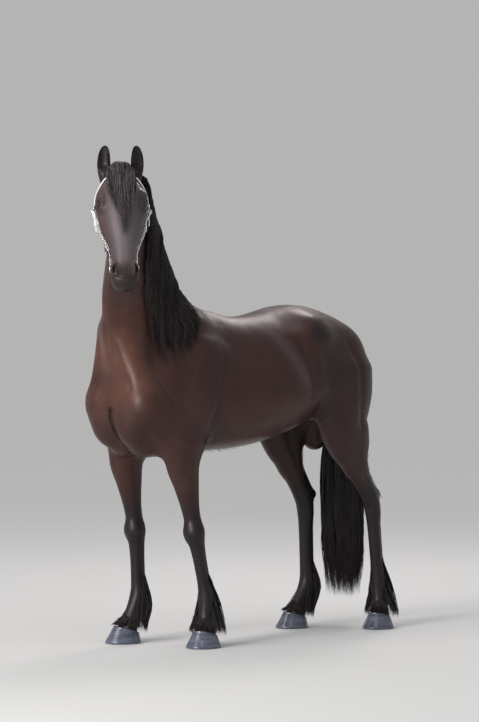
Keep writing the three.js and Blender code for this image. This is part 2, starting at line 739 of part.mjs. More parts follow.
// Eyes in their sockets, with a raised lid round each opening
const eyes = {};
for (const [name, s] of [["left", LEFT], ["right", RIGHT]]) {
  const out = unit(add(mul(headW, s * 0.93), mul(headF, 0.36)));
  const up = unit(sub(headF, mul(out, dot(headF, out))));
  const level = cross(up, out);
  const at = onHead(206, 2, s * 92);
  eyes[name] = { at, axes: [level, up, out], s };
}
const EYE_RADIUS = 23;
const LID = [38, 30, 27]; // half sizes of the lids' swelling
const OPENING = [18, 12, 21]; // half sizes of what is cut out between the lids
const OPENING_OUT = 25; // how far the opening's middle is from the eye's
const NOSTRIL = [22, 8, 20]; // half sizes of a nostril
const ball = (at, radius, [level, up, out]) =>
  ovalSolid(at, [radius, radius, radius], [up, out, level], 10, 6);

let head = flesh([[-480, -640, 1560], [140, 60, 2340]], [28.5, 28, 28], [cuts.head]);
for (const { at, axes } of Object.values(eyes)) {
  const lid = ovalSolid(at, LID, axes, 14, 8);
  const opening = ovalSolid(add(at, mul(axes[2], OPENING_OUT)), OPENING, axes, 10, 5);
  const socket = ball(at, EYE_RADIUS + GAP, axes);
  head = head.add(lid).subtract(opening.add(socket));
}
for (const s of [LEFT, RIGHT]) {
  const out = unit(add(add(mul(headW, s * 0.8), mul(headL, 0.25)), mul(headF, 0.5)));
  const long = unit(add(add(mul(headL, -0.5), mul(headF, 0.8)), mul(headW, s * -0.1)));
  const upright = unit(sub(long, mul(out, dot(long, out))));
  const axes = [upright, cross(out, upright), out];
  head = head.subtract(ovalSolid(onHead(562, -42, s * 54), NOSTRIL, axes, 10, 6));
}
// The line of the mouth runs round the muzzle between the lips.
const mouth = new THREE.Shape().absellipse(0, 0, 130, 90, 0, 2 * Math.PI);
mouth.holes.push(new THREE.Path().absellipse(0, 0, 106, 36, 0, 2 * Math.PI));
const slit = new THREE.ExtrudeGeometry(mouth, { depth: 4, bevelEnabled: false, curveSegments: 20 });
slit.applyMatrix4(new THREE.Matrix4().makeBasis(
  new THREE.Vector3(...headL), new THREE.Vector3(...headW), new THREE.Vector3(...mul(headF, -1)),
).setPosition(...onHead(506, -98, 0)));
const lipsOnly = halfSpace(onHead(512, 0, 0), headL);
head = head.subtract(solidOf(slit).intersect(lipsOnly));
node("head", head, COAT);
node("neck",
  flesh([[-260, -420, 1200], [620, 260, 2360]], [52, 44, 54], [behind(cuts.head), cuts.neck]), COAT);
node("torso", flesh([[-60, -400, 820], [1680, 400, 1690]], [76, 64, 66],
  [behind(cuts.neck), ...Object.keys(legs).map((n) => behind(cuts[n]))]), COAT);
for (const [name, { at, axes }] of Object.entries(eyes))
  node(`eye_${name}`, ball(at, EYE_RADIUS, axes), EYE);

// An ear: a leaf-shaped cup, open to the front, its tip leaning in.
const EAR_LENGTH = 148; // with the root inside the head's fur
function ear(s) {
  const up = unit(add(add([0, 0, 0.97], mul(ahead, 0.1)), mul(headW, s * 0.1)));
  const open = unit(add(mul(ahead, 0.93), mul(headW, s * 0.3)));
  const front = unit(sub(open, mul(up, dot(open, up))));
  const side = cross(up, front);
  const root = onHead(30, 0, s * 76);
  const rings = Array.from({ length: 10 }, (_, i) => {
    const t = i / 9;
    const wide = 3 + 30 * Math.sin(Math.PI * (0.22 + 0.78 * t)) ** 0.62 * (1 - 0.2 * t * t);
    const deep = wide * (0.85 - 0.35 * t);
    const cup = THREE.MathUtils.lerp(-0.7, 0.72, THREE.MathUtils.smoothstep(t, 0.1, 0.45));
    const lean = -s * 16 * t * t;
    const middle = add(add(root, mul(up, EAR_LENGTH * t)), mul(headW, lean));
    const arc = (count, a0, a1, w, d) => Array.from({ length: count }, (_, k) => {
      const a = radians(a0 + ((a1 - a0) * k) / (count - 1));
      return add(add(middle, mul(side, w * Math.sin(a))), mul(front, -d * Math.cos(a)));
    });
    const back = arc(7, -90, 90, wide, deep);
    const inside = arc(5, 64, -64, wide * 0.9, deep * cup);
    return [...back, ...inside];
  });
  return solidOf(turnedOut(loft(rings)));
}
for (const [name, s] of [["left", LEFT], ["right", RIGHT]])
  node(`ear_${name}`, clearOf(ear(s), solids.head), COAT);

// The bridle: bands on the head, a rosette with two ribbons at each temple, and chains to the
// rings at the corners of the mouth.
const BAND = 15; // width of the bands
const BAND_REACH = 5; // height of a band, half of it sunk before it is cut clear of the head
const ROSETTE = { face: 15, back: 17, thick: 5 };
const RIBBON = { wide: 11, thick: 1.6, long: 95, apart: 12 };
const RING = { radius: 15, wire: 3 };
const CHAIN_POINTS = 15;
const CHIN_POINTS = 17;
const skin = [solids.head, solids.neck, solids.ear_left, solids.ear_right];
const temple = (s) => onHead(176, -52, s * 120);
const corner = (s) => settle(onHead(512, -92, s * 62), 9);
const browPath = [temple(RIGHT), onHead(110, 20, 112), onHead(66, 40, 60), onHead(56, 48, 0),
  onHead(66, 40, -60), onHead(110, 20, -112), temple(LEFT)];
const crownPath = [temple(RIGHT), onHead(110, -80, 112), onHead(40, -85, 100), onHead(-2, -50, 84),
  onHead(-14, 0, 46), onHead(-16, 14, 0), onHead(-14, 0, -46), onHead(-2, -50, -84),
  onHead(40, -85, -100), onHead(110, -80, -112), temple(LEFT)];
const brow = solidOf(strip(laid(browPath, 12, 1), BAND, BAND_REACH));
const crown = solidOf(strip(laid(crownPath, 15, 1), BAND, BAND_REACH));
node("bridle_browband", clearOf(brow, ...skin), STRAP);
node("bridle_crown", clearOf(crown, ...skin, solids.bridle_browband), STRAP);
for (const [name, s] of [["left", LEFT], ["right", RIGHT]]) {
  const top = settle(temple(s), 7);
  const out = slopeOf(top);
  const low = corner(s);
  const spread = (t) => settle(mix(top, low, t), 7);
  const rosette = new THREE.CylinderGeometry(ROSETTE.face, ROSETTE.back, ROSETTE.thick, 16).applyQuaternion(
    new THREE.Quaternion().setFromUnitVectors(new THREE.Vector3(0, 1, 0), new THREE.Vector3(...out)),
  ).translate(...top);
  const bands = [...skin, solids.bridle_browband, solids.bridle_crown];
  node(`bridle_rosette_${name}`, clearOf(solidOf(rosette), ...bands), METAL);
  const rest = [...bands, solids[`bridle_rosette_${name}`]];
  const strapPath = [0.05, 0.12, 0.19, 0.26].map((t) => settle(mix(temple(s), low, t), 1));
  const strap = strip(strapPath, BAND, BAND_REACH);
  node(`bridle_cheek_${name}`, clearOf(solidOf(strap), ...rest), STRAP);
  const ribbons = [-RIBBON.apart / 2, RIBBON.apart / 2].map((shift) => {
    const root = add(add(top, mul(headL, 15)), add(mul(headF, shift), out));
    const way = add(mul(out, 0.3), mul(headF, shift * 0.04));
    const path = fall(root, way, RIBBON.long, { above: 9, weight: 0.9 });
    return solidOf(strip(path, RIBBON.wide, RIBBON.thick, out));
  });
  const ribbon = ribbons[0].add(ribbons[1]);
  node(`bridle_ribbons_${name}`, clearOf(ribbon, ...rest, solids[`bridle_cheek_${name}`]), STRAP);
  const last = CHAIN_POINTS - 1;
  const links = Array.from({ length: CHAIN_POINTS }, (_, i) => spread(0.27 + (0.68 * i) / last));
  const chain = bar(links, (t) => 5 + 5 * (Math.round(t * last) % 2), 5);
  node(`bridle_chain_${name}`, clearOf(solidOf(chain), ...rest, solids[`bridle_cheek_${name}`],
    solids[`bridle_ribbons_${name}`]), METAL);
  const ring = new THREE.TorusGeometry(RING.radius, RING.wire, 4, 12).applyQuaternion(
    new THREE.Quaternion().setFromUnitVectors(
      new THREE.Vector3(0, 0, 1),
      new THREE.Vector3(...slopeOf(low)),
    ),
  ).translate(...low);
  node(`bridle_ring_${name}`, clearOf(solidOf(ring), ...skin, solids[`bridle_chain_${name}`]), METAL);
}
const chinPath = [
  add(corner(RIGHT), mul(headL, 14)), onHead(530, -150, 50), onHead(545, -165, 20), onHead(548, -168, 0),
  onHead(545, -165, -20), onHead(530, -150, -50), add(corner(LEFT), mul(headL, 14)),
];
const chinLinks = (t) => 4 + 4 * (Math.round(t * (CHIN_POINTS - 1)) % 2);
const chin = bar(laid(chinPath, CHIN_POINTS, 4), chinLinks, 5);
node("bridle_chin_chain", clearOf(solidOf(chin), ...skin, solids.bridle_ring_left, solids.bridle_ring_right,
  solids.bridle_chain_left, solids.bridle_chain_right), METAL);

// The hair. Each coat of hair is overlapping locks, joined into one solid.
const bridle = Object.keys(solids).filter((n) => n.startsWith("bridle")).map((n) => solids[n]);
// Numbers from 0 to 1 that look random and are the same at every run.
let seed = 8;
function random() {
  seed = (seed * 1664525 + 1013904223) % 4294967296;
  return seed / 4294967296;
}
const vary = (share) => 1 + share * (2 * random() - 1);

// A lock of hair: four-sided and flat, widest a third of the way down and drawn to a point.
// facing says which way is out of the coat at a point, and root is how wide it starts.
function lock(path, wide, thick, { facing = slopeOf, root = 0.6 } = {}) {
  const last = path.length - 1;
  const rings = path.slice(0, last).map((p, i) => {
    const t = i / last;
    const along = unit(sub(path[i + 1], path[Math.max(i - 1, 0)]));
    const side = unit(cross(along, facing(p)));
    const out = cross(side, along);
    const full = Math.min(root + 1.4 * t, 1) * (1 - 0.75 * t ** 3);
    const [w, h] = [mul(side, (wide * full) / 2), mul(out, (thick * full) / 2)];
    return [sub(p, w), sub(p, h), add(p, w), add(p, h)];
  });
  return solidOf(turnedOut(loft(rings, path[last])));
}

// Several locks and their core as one solid.
const joined = (pieces) => pieces.reduce((whole, piece) => whole.add(piece)).asOriginal().simplify(2);

// The mane lies on the left of the neck, and its roots follow the crest.
const MANE_LOCKS = 14;
const MANE_START = 0.3; // share of the crest behind the mane
const MANE_HEM = 1325; // height that its tips reach, but for the longest locks near the poll
const crest = new THREE.CatmullRomCurve3([
  [430, 0, 1400], [255, 0, 1425], [172, -12, 1590], [115, -38, 1750], [68, -74, 1900], [34, -102, 2030],
  [6, -114, 2125]].map((p) => new THREE.Vector3(...p)));
function maneRoot(share) {
  const t = MANE_START + (1 - MANE_START) * share;
  const at = crest.getPoint(t).toArray();
  const along = crest.getTangent(t).toArray();
  const left = unit(mix([0, -1, 0], mul(headW, -1), t * 0.8));
  const rise = unit(cross(left, along));
  const up = rise[2] > 0 ? rise : mul(rise, -1);
  return { root: surfaceAt(add(at, mul(up, 60)), up), way: add(left, mul(up, 0.05)) };
}
function maneFall(share, reach, { above = 6, lean = -0.5, steps = 5 } = {}) {
  const { root, way } = maneRoot(share);
  const long = THREE.MathUtils.clamp(root[2] - MANE_HEM, 240, 600) * reach;
  return fall(root, way, long, { steps, weight: 0.9, above, cling: 0.6, drift: [lean, 0, 0] });
}
const maneLocks = Array.from({ length: MANE_LOCKS }, (_, i) => {
  const share = (i + 0.4 * random()) / MANE_LOCKS;
  const reach = vary(0.12);
  const slim = [0.45, 0.7][i] ?? 1; // the first locks, at the withers, are narrow and lie close
  const path = maneFall(share, reach, { above: slim * (19 + 9 * (i % 2)), lean: -0.32 * vary(0.3) });
  return lock(path, slim * 118 * vary(0.12), 17);
});
node("mane", clearOf(joined(maneLocks), solids.head, solids.neck, solids.torso, solids.leg_fore_left,
  solids.ear_left, solids.ear_right, ...bridle), HAIR, FINEST_HAIR);

// The forelock falls down the middle of the face from between the ears.
const FORELOCK_LOCKS = 7;
const FORELOCK_LENGTH = 410;
const foreFall = (w, long, above) => fall(
  settle(onHead(0, 20, w), 2),
  add(headL, mul(headW, w * -0.003)),
  long,
  { steps: 5, weight: 0.1, above, cling: 0.9 },
);
const foreLocks = Array.from({ length: FORELOCK_LOCKS }, (_, i) => {
  const w = 76 * (i / (FORELOCK_LOCKS - 1) - 0.5);
  const long = FORELOCK_LENGTH * (1 - Math.abs(w) / 120) * vary(0.12);
  return lock(foreFall(w, long, 6 + 5 * (i % 2)), 38 * vary(0.2), 11);
});
node("forelock", clearOf(joined(foreLocks), solids.head, solids.neck, solids.ear_left,
  solids.ear_right, solids.mane, ...bridle), HAIR, FINEST_HAIR);

// The tail hangs from the dock, and its locks lie round a core down to its tips near the floor.
const TAIL_LOCKS = 14;
const tailStations = [
  [[1480, 0, 1400], 34, 34],
  [[1545, 5, 1385], 46, 44],
  [[1592, 22, 1300], 68, 54],
  [[1592, 60, 1120], 98, 66],
  [[1576, 86, 900], 122, 80],
  [[1574, 86, 660], 124, 92],
  [[1572, 78, 430], 124, 96],
  [[1570, 74, 270], 120, 92],
  [[1570, 72, TAIL_TIP], 100, 76],
];
const tailCurve = new THREE.CatmullRomCurve3(tailStations.map(([p]) => new THREE.Vector3(...p)));
function tailPoint(t, angle, share) {
  const k = t * (tailStations.length - 1);
  const j = Math.min(Math.floor(k), tailStations.length - 2);
  const size = (q) => THREE.MathUtils.lerp(tailStations[j][q], tailStations[j + 1][q], k - j);
  const [wide, deep] = [size(1), size(2)];
  const back = unit(cross(tailCurve.getTangent(t).toArray(), [0, 1, 0]));
  const at = tailCurve.getPoint(t).toArray();
  return add(at, add([0, share * wide * Math.cos(angle), 0], mul(back, share * deep * Math.sin(angle))));
}
const turn = (share) => share * 2 * Math.PI;
const tailCore = solidOf(turnedOut(loft(Array.from({ length: 7 }, (_, i) =>
  Array.from({ length: 8 }, (_, q) => tailPoint(0.5 * (i / 6), turn(q / 8), 0.8))))));
const tailLocks = Array.from({ length: TAIL_LOCKS }, (_, i) => {
  const angle = turn((i + 0.5 * random()) / TAIL_LOCKS);
  const start = i % 2 ? 0.1 : 0.22;
  const end = 1 - 0.11 * random();
  const share = i % 2 ? 0.72 : 0.88;
  const bend = 0.5 * (random() - 0.5);
  const path = Array.from({ length: 6 }, (_, k) => {
    const t = THREE.MathUtils.lerp(start, end, k / 5);
    return tailPoint(t, angle + bend * (k / 5), share * (k ? 1 : 0.6) * (k === 5 ? 0.85 : 1));
  });
  const facing = () => [Math.sin(angle), Math.cos(angle), 0];
  return lock(path, 96 * vary(0.15), 32, { facing });
});
const beside = ["torso", "leg_hind_left", "leg_hind_right", "hoof_hind_left", "hoof_hind_right"];
node("tail", clearOf(joined([tailCore, ...tailLocks]), ...beside.map((n) => solids[n])), HAIR, FINEST_HAIR);

// The feathers: long hair behind each fetlock and pastern, down over the heels of the hoof.
const FEATHER_LOCKS = 7;
const FEATHER_SWEEP = 108; // degrees that the hair reaches round to each side from straight behind
for (const [name, leg] of Object.entries(legs)) {
  const axis = (z) => {
    const upper = z > leg.fetlock[2];
    const [high, low] = upper ? [leg.knee ?? leg.hock, leg.fetlock] : [leg.fetlock, leg.coronet];
    return mix(low, high, (z - low[2]) / (high[2] - low[2]));
  };
  const path = (degrees, long, raised) => {
    const a = radians(degrees);
    const way = add(mul(leg.forward, -Math.cos(a)), mul(leg.side, Math.sin(a)));
    const rear = Math.cos(a / 2);
    const top = leg.fetlock[2] + 95 * rear - 40;
    const low = FEATHER_TIP + 90 * (1 - long) + 45 * (1 - rear);
    const foot = add([leg.hoof[0], leg.hoof[1], low], mul(leg.forward, -14));
    const tip = add(foot, mul(way, 54 + 30 * rear + raised));
    return [
      surfaceAt(axis(top), way, -6),
      surfaceAt(axis(top - 55), way, 10 + 10 * rear + raised),
      surfaceAt(axis(leg.fetlock[2] - 45), way, 12 + 26 * rear ** 2 + raised),
      mix(surfaceAt(axis(leg.fetlock[2] - 100), way, 16 + 22 * rear ** 2 + raised), tip, 0.15),
      tip,
    ];
  };
  const spread = (count, make) => Array.from({ length: count }, (_, i) =>
    make(FEATHER_SWEEP * ((2 * i) / (count - 1) - 1), 7 * (i % 2)));
  const locks = spread(FEATHER_LOCKS, (a, raised) =>
    lock(path(a + 10 * (random() - 0.5), vary(0.25), raised), 84 * vary(0.12), 20, { root: 0.85 }));
  const limb = [solids[`leg_${name}`], solids[`hoof_${name}`]];
  node(`feather_${name}`, clearOf(joined(locks), ...limb), HAIR, FINEST_HAIR);
}

// The origin is the middle of the underside of the whole model's box.
const whole = new THREE.Box3().setFromObject(group);
const middle = whole.getCenter(new THREE.Vector3());
for (const mesh of group.children) mesh.geometry.translate(-middle.x, -middle.y, -whole.min.z);

export default group;
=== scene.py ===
"""A life-size friesian horse, standing with its head turned to its left, in a white show bridle.

The flesh is one smooth form, described by ovals carried along the limbs, neck and trunk and by the
muscles over them. It is meshed as one skin, and the hair, hooves, eyes and bridle are set on it.
Sizes are millimetres in the horse's own frame, and each piece is put in metres into the model's
frame when its mesh is made.
"""
import logging
import math
from collections.abc import Mapping, Sequence
from dataclasses import dataclass, field, replace
from enum import Enum

import bpy
import numpy as np
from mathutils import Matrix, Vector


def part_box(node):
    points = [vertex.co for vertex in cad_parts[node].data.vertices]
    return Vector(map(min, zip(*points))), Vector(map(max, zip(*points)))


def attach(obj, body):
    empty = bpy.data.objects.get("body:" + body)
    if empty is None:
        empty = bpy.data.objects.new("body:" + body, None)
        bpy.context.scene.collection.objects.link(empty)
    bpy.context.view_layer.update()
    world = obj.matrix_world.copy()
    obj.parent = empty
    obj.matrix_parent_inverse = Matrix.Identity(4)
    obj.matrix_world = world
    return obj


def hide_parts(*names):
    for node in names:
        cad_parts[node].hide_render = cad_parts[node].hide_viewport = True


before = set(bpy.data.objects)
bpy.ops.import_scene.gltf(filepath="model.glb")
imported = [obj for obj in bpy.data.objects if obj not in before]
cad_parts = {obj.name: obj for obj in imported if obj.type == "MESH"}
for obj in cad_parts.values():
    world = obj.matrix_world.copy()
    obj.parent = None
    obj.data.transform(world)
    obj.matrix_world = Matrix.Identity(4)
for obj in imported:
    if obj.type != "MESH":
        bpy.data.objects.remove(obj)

Array = np.ndarray
log = logging.getLogger("friesian")

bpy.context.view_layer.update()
BODY = "root"
MM = 0.001
SEED = 11
TINY = 1e-12
SMALL = 1e-6


# Vectors

def vec(*numbers: float) -> Array:
    """Three numbers as a vector."""
    return np.array(numbers, dtype=float)


BACK, RIGHT, UP = vec(1, 0, 0), vec(0, 1, 0), vec(0, 0, 1)


def dot(a: Array, b: Array) -> Array:
    """Row by row scalar product."""
    return (a * b).sum(axis=-1)


def unit(a: Array) -> Array:
    """Vectors of the same directions, one long."""
    return a / np.maximum(np.linalg.norm(a, axis=-1, keepdims=True), TINY)


def mix(a: Array, b: Array, share: Array | float) -> Array:
    """The point at a share of the way from a to b."""
    return a * (1 - share) + b * share


def step(value: Array, start: Array | float, end: Array | float) -> Array:
    """A smooth change from 0 at start to 1 at end, whichever is larger: 3t^2 - 2t^3."""
    t = np.clip((value - start) / (end - start), 0, 1)
    return t * t * (3 - 2 * t)


def hump(value: Array, middle: float, half: float) -> Array:
    """A bell of height 1 about a middle: exp(-((value - middle) / half)^2)."""
    return np.exp(-(((value - middle) / half) ** 2))


def spot(first: tuple[Array, float, float], second: tuple[Array, float, float], edge: float = 1.0) -> Array:
    """A round mark, 1 in its middle: exp(-(a^2 + b^2)^edge), each of a and b as (value - middle) / half.

    Args:
        first: the first value, its middle and half size.
        second: the same for the second.
        edge: how sharp its edge is.

    Returns:
        The mark's strength.
    """
    a, b = ((value - middle) / half for value, middle, half in (first, second))
    return np.exp(-((a**2 + b**2) ** edge))


def within(p: Array, low: Array | Sequence[float], high: Array | Sequence[float]) -> Array:
    """Which points are between two corners."""
    return ((p > low) & (p < high)).all(axis=1)


def turn_of(count: int) -> Array:
    """Angles spread evenly round a circle."""
    return np.arange(count) / count * 2 * np.pi


def spaced(rng: np.random.Generator, count: int) -> Array:
    """Shares from 0 to 1 in order, each at random within its own part."""
    return (np.arange(count) + rng.random(count)) / count


def spline(a: Array, b: Array, c: Array, d: Array, t: float) -> Array:
    """Catmull-Rom value at t between b and c."""
    m0 = (c - a) / 2
    m1 = (d - b) / 2
    return ((2 * t**3 - 3 * t**2 + 1) * b + (t**3 - 2 * t**2 + t) * m0
            + (3 * t**2 - 2 * t**3) * c + (t**3 - t**2) * m1)


def along_rows(t: Array, run: Array, rows: Array) -> Array:
    """The columns of rows at places t, between the places run that the rows have."""
    return np.stack([np.interp(t, run, rows[:, k]) for k in range(rows.shape[1])], axis=-1)


def run_of(path: Array) -> Array:
    """How far each point of a path is along it."""
    return np.concatenate([[0], np.cumsum(np.linalg.norm(np.diff(path, axis=0), axis=1))])


def curve(points: Array, count: int) -> Array:
    """Points spread evenly along a Catmull-Rom curve through a few.

    Args:
        points: the points that the curve passes through, (n, 3).
        count: how many points to give.

    Returns:
        The points, (count, 3).
    """
    points = np.asarray(points, dtype=float)
    last = len(points) - 1
    fine = []
    for i in range(last):
        four = [points[min(max(j, 0), last)] for j in (i - 1, i, i + 1, i + 2)]
        fine += [spline(*four, t) for t in np.arange(0, 1, 1 / 16)]
    fine = np.array(fine + [points[-1]])
    run = run_of(fine)
    return along_rows(np.linspace(0, run[-1], count), run, fine)


def tangents(paths: Array) -> Array:
    """The direction of each path, (..., t, 3), at each of its points."""
    return unit(np.gradient(paths, axis=-2))


class Side(Enum):
    """The horse's left or right."""

    LEFT = -1
    RIGHT = 1

    @property
    def word(self) -> str:
        """The side in lower case."""
        return self.name.lower()


# The forms of the flesh

def oval_distance(u: Array, v: Array, w: Array, a: Array, b: Array, c: Array, n: Array | float) -> Array:
    """About how far (u, v, w) is outside an oval: (|x^n + y^n + z^n|^(1/n) - 1) over its own slope.

    Args:
        u, v, w: the place along the oval's three directions.
        a, b, c: the oval's half sizes.
        n: how square it is, 2 for round.

    Returns:
        The distance, negative inside.
    """
    x, y, z = np.abs(u) / a, np.abs(v) / b, np.abs(w) / c
    size = (x**n + y**n + z**n) ** (1 / n)
    middle = size < SMALL
    size = np.where(middle, 1.0, size)
    slope = [(q / size) ** (n - 1) / r for q, r in ((x, a), (y, b), (z, c))]
    steep = np.sqrt(slope[0] ** 2 + slope[1] ** 2 + slope[2] ** 2)
    return np.where(middle, -np.minimum(a, b), (size - 1) / np.where(middle, 1.0, steep))


@dataclass(frozen=True)
class Oval:
    """An oval body with half sizes along three directions."""

    at: Array
    sizes: tuple[float, float, float]
    axes: tuple[Array, Array, Array] = (BACK, RIGHT, UP)

    def box(self) -> tuple[Array, Array]:
        """The lowest and highest corners that hold it."""
        return self.at - max(self.sizes), self.at + max(self.sizes)

    def distance(self, p: Array) -> Array:
        """How far points are outside it."""
        rel = p - self.at
        return oval_distance(*(dot(rel, axis) for axis in self.axes), *self.sizes, 2)


@dataclass(frozen=True)
class Muscle:
    """An oval drawn out from one end to the other, flattened along one direction."""

    start: Array
    end: Array
    radii: tuple[float, float]
    flat: float = 1.0
    normal: Array = field(default_factory=lambda: RIGHT)

    def box(self) -> tuple[Array, Array]:
        """The lowest and highest corners that hold it."""
        big = max(self.radii)
        return np.minimum(self.start, self.end) - big, np.maximum(self.start, self.end) + big

    def distance(self, p: Array) -> Array:
        """How far points are outside it."""
        along = self.end - self.start
        normal = unit(self.normal)
        rel = p - self.start
        t = np.clip(rel @ along / (along @ along), 0, 1)
        off = rel - t[:, None] * along
        off = off + (off @ normal)[:, None] * normal * (1 / self.flat - 1)
        reach = np.maximum(np.linalg.norm(off, axis=1), SMALL)
        way = off / reach[:, None]
        lean = way @ normal
        slope = np.hypot(np.sqrt(np.maximum(1 - lean**2, 0)), lean / self.flat)
        return (reach - (self.radii[0] + (self.radii[1] - self.radii[0]) * t)) / slope


@dataclass(frozen=True)
class Station:
    """One oval of a sweep: its centre, half width, reach above and below, width's way and peak."""

    at: Array
    wide: float
    up: float
    down: float | None = None
    side: Array | None = None
    peak: float = 2.0


@dataclass(frozen=True)
class Sweep:
    """An oval carried along a line through stations."""

    at: Array
    sizes: Array
    side: Array
    cap: float

    STEPS = 6
    BATCH = 60000

    @classmethod
    def through(cls, stations: Sequence[Station], side: Array = RIGHT, cap: float = 1.0) -> "Sweep":
        """The sweep through stations, with rows between them on a Catmull-Rom curve.

        Args:
            stations: the ovals that it passes through.
            side: the way of the width where a station gives none.
            cap: how far the ends reach, as a share of the oval there.

        Returns:
            The sweep.
        """
        table = np.array([
            [*s.at, s.wide, s.up, s.up if s.down is None else s.down, s.peak] for s in stations
        ])
        sides = np.array([side if s.side is None else s.side for s in stations])
        last = len(stations) - 1
        rows, ways = [], []
        for i in range(last):
            four = [table[min(max(j, 0), last)] for j in (i - 1, i, i + 1, i + 2)]
            for k in range(cls.STEPS + (i == last - 1)):
                t = k / cls.STEPS
                rows.append(spline(*four, t))
                ways.append(unit(mix(sides[i], sides[i + 1], t)))
        rows = np.array(rows)
        return cls(rows[:, :3], rows[:, 3:], np.array(ways), cap)

    def box(self) -> tuple[Array, Array]:
        """The lowest and highest corners that hold it."""
        big = self.sizes[:, :3].max(axis=1)[:, None]
        return (self.at - big).min(axis=0), (self.at + big).max(axis=0)

    def distance(self, p: Array) -> Array:
        """How far points are outside it, from the link of the line that is nearest to each."""
        near = np.empty(len(p), dtype=int)
        square = dot(self.at, self.at)
        for i in range(0, len(p), self.BATCH):
            batch = slice(i, i + self.BATCH)
            near[batch] = np.argmin(square - 2 * p[batch] @ self.at.T, axis=1)
        most = len(self.at) - 2
        best = None
        for link in (np.clip(near - 1, 0, most), np.clip(near, 0, most)):
            start, along = self.at[link], self.at[link + 1] - self.at[link]
            t = np.clip(dot(p - start, along) / dot(along, along), 0, 1)
            off = p - start - along * t[:, None]
            d = dot(off, off)
            if best is None:
                best = [d, t, off, link]
            else:
                closer = d < best[0]
                best = [np.where(closer[:, None] if old.ndim > 1 else closer, new, old)
                        for new, old in zip((d, t, off, link), best)]
        _, t, off, link = best
        way = unit(self.at[link + 1] - self.at[link])
        side = mix(self.side[link], self.side[link + 1], t[:, None])
        across = unit(side - way * dot(side, way)[:, None])
        rise = np.cross(way, across)
        wide, up, down, peak = mix(self.sizes[link], self.sizes[link + 1], t[:, None]).T
        v = dot(off, rise)
        tall = np.where(v > 0, up, down)
        end = np.minimum(wide, tall) * self.cap
        return oval_distance(dot(off, across), v, dot(off, way), wide, tall, end, np.where(v > 0, peak, 2.0))


Form = Oval | Muscle | Sweep


# The horse's measures

@dataclass(frozen=True)
class HeadFrame:
    """The head's own frame: l runs from the poll to the lips, f towards the face, w to its right."""

    length: float = 604.0
    yaw: float = math.radians(54)
    pitch: float = math.radians(39)
    poll: Array = field(default_factory=lambda: vec(-44, -134, 2206))
    drawn: float = 625.0

    @property
    def ahead(self) -> Array:
        """The level direction in which the head looks."""
        return vec(-math.cos(self.yaw), -math.sin(self.yaw), 0)

    @property
    def l(self) -> Array:
        """From the poll to the lips."""
        return self.ahead * math.sin(self.pitch) + vec(0, 0, -math.cos(self.pitch))

    @property
    def f(self) -> Array:
        """Out of the face."""
        return self.ahead * math.cos(self.pitch) + vec(0, 0, math.sin(self.pitch))

    @property
    def w(self) -> Array:
        """To the head's right."""
        return vec(-math.sin(self.yaw), math.cos(self.yaw), 0)

    @property
    def scale(self) -> float:
        """The head's size against the one that the stations are drawn for."""
        return self.length / self.drawn

    def point(self, l: Array | float, f: Array | float, w: Array | float) -> Array:
        """The place at l, f and w."""
        l, f, w = np.broadcast_arrays(*(np.asarray(q, dtype=float) for q in (l, f, w)))
        rel = l[..., None] * self.l + f[..., None] * self.f + w[..., None] * self.w
        return self.poll + self.scale * rel

    def local(self, p: Array) -> Array:
        """The l, f and w of places."""
        rel = (p - self.poll) / self.scale
        return np.stack([rel @ self.l, rel @ self.f, rel @ self.w], axis=-1)


HEAD = HeadFrame()
SIDES = (Side.LEFT, Side.RIGHT)


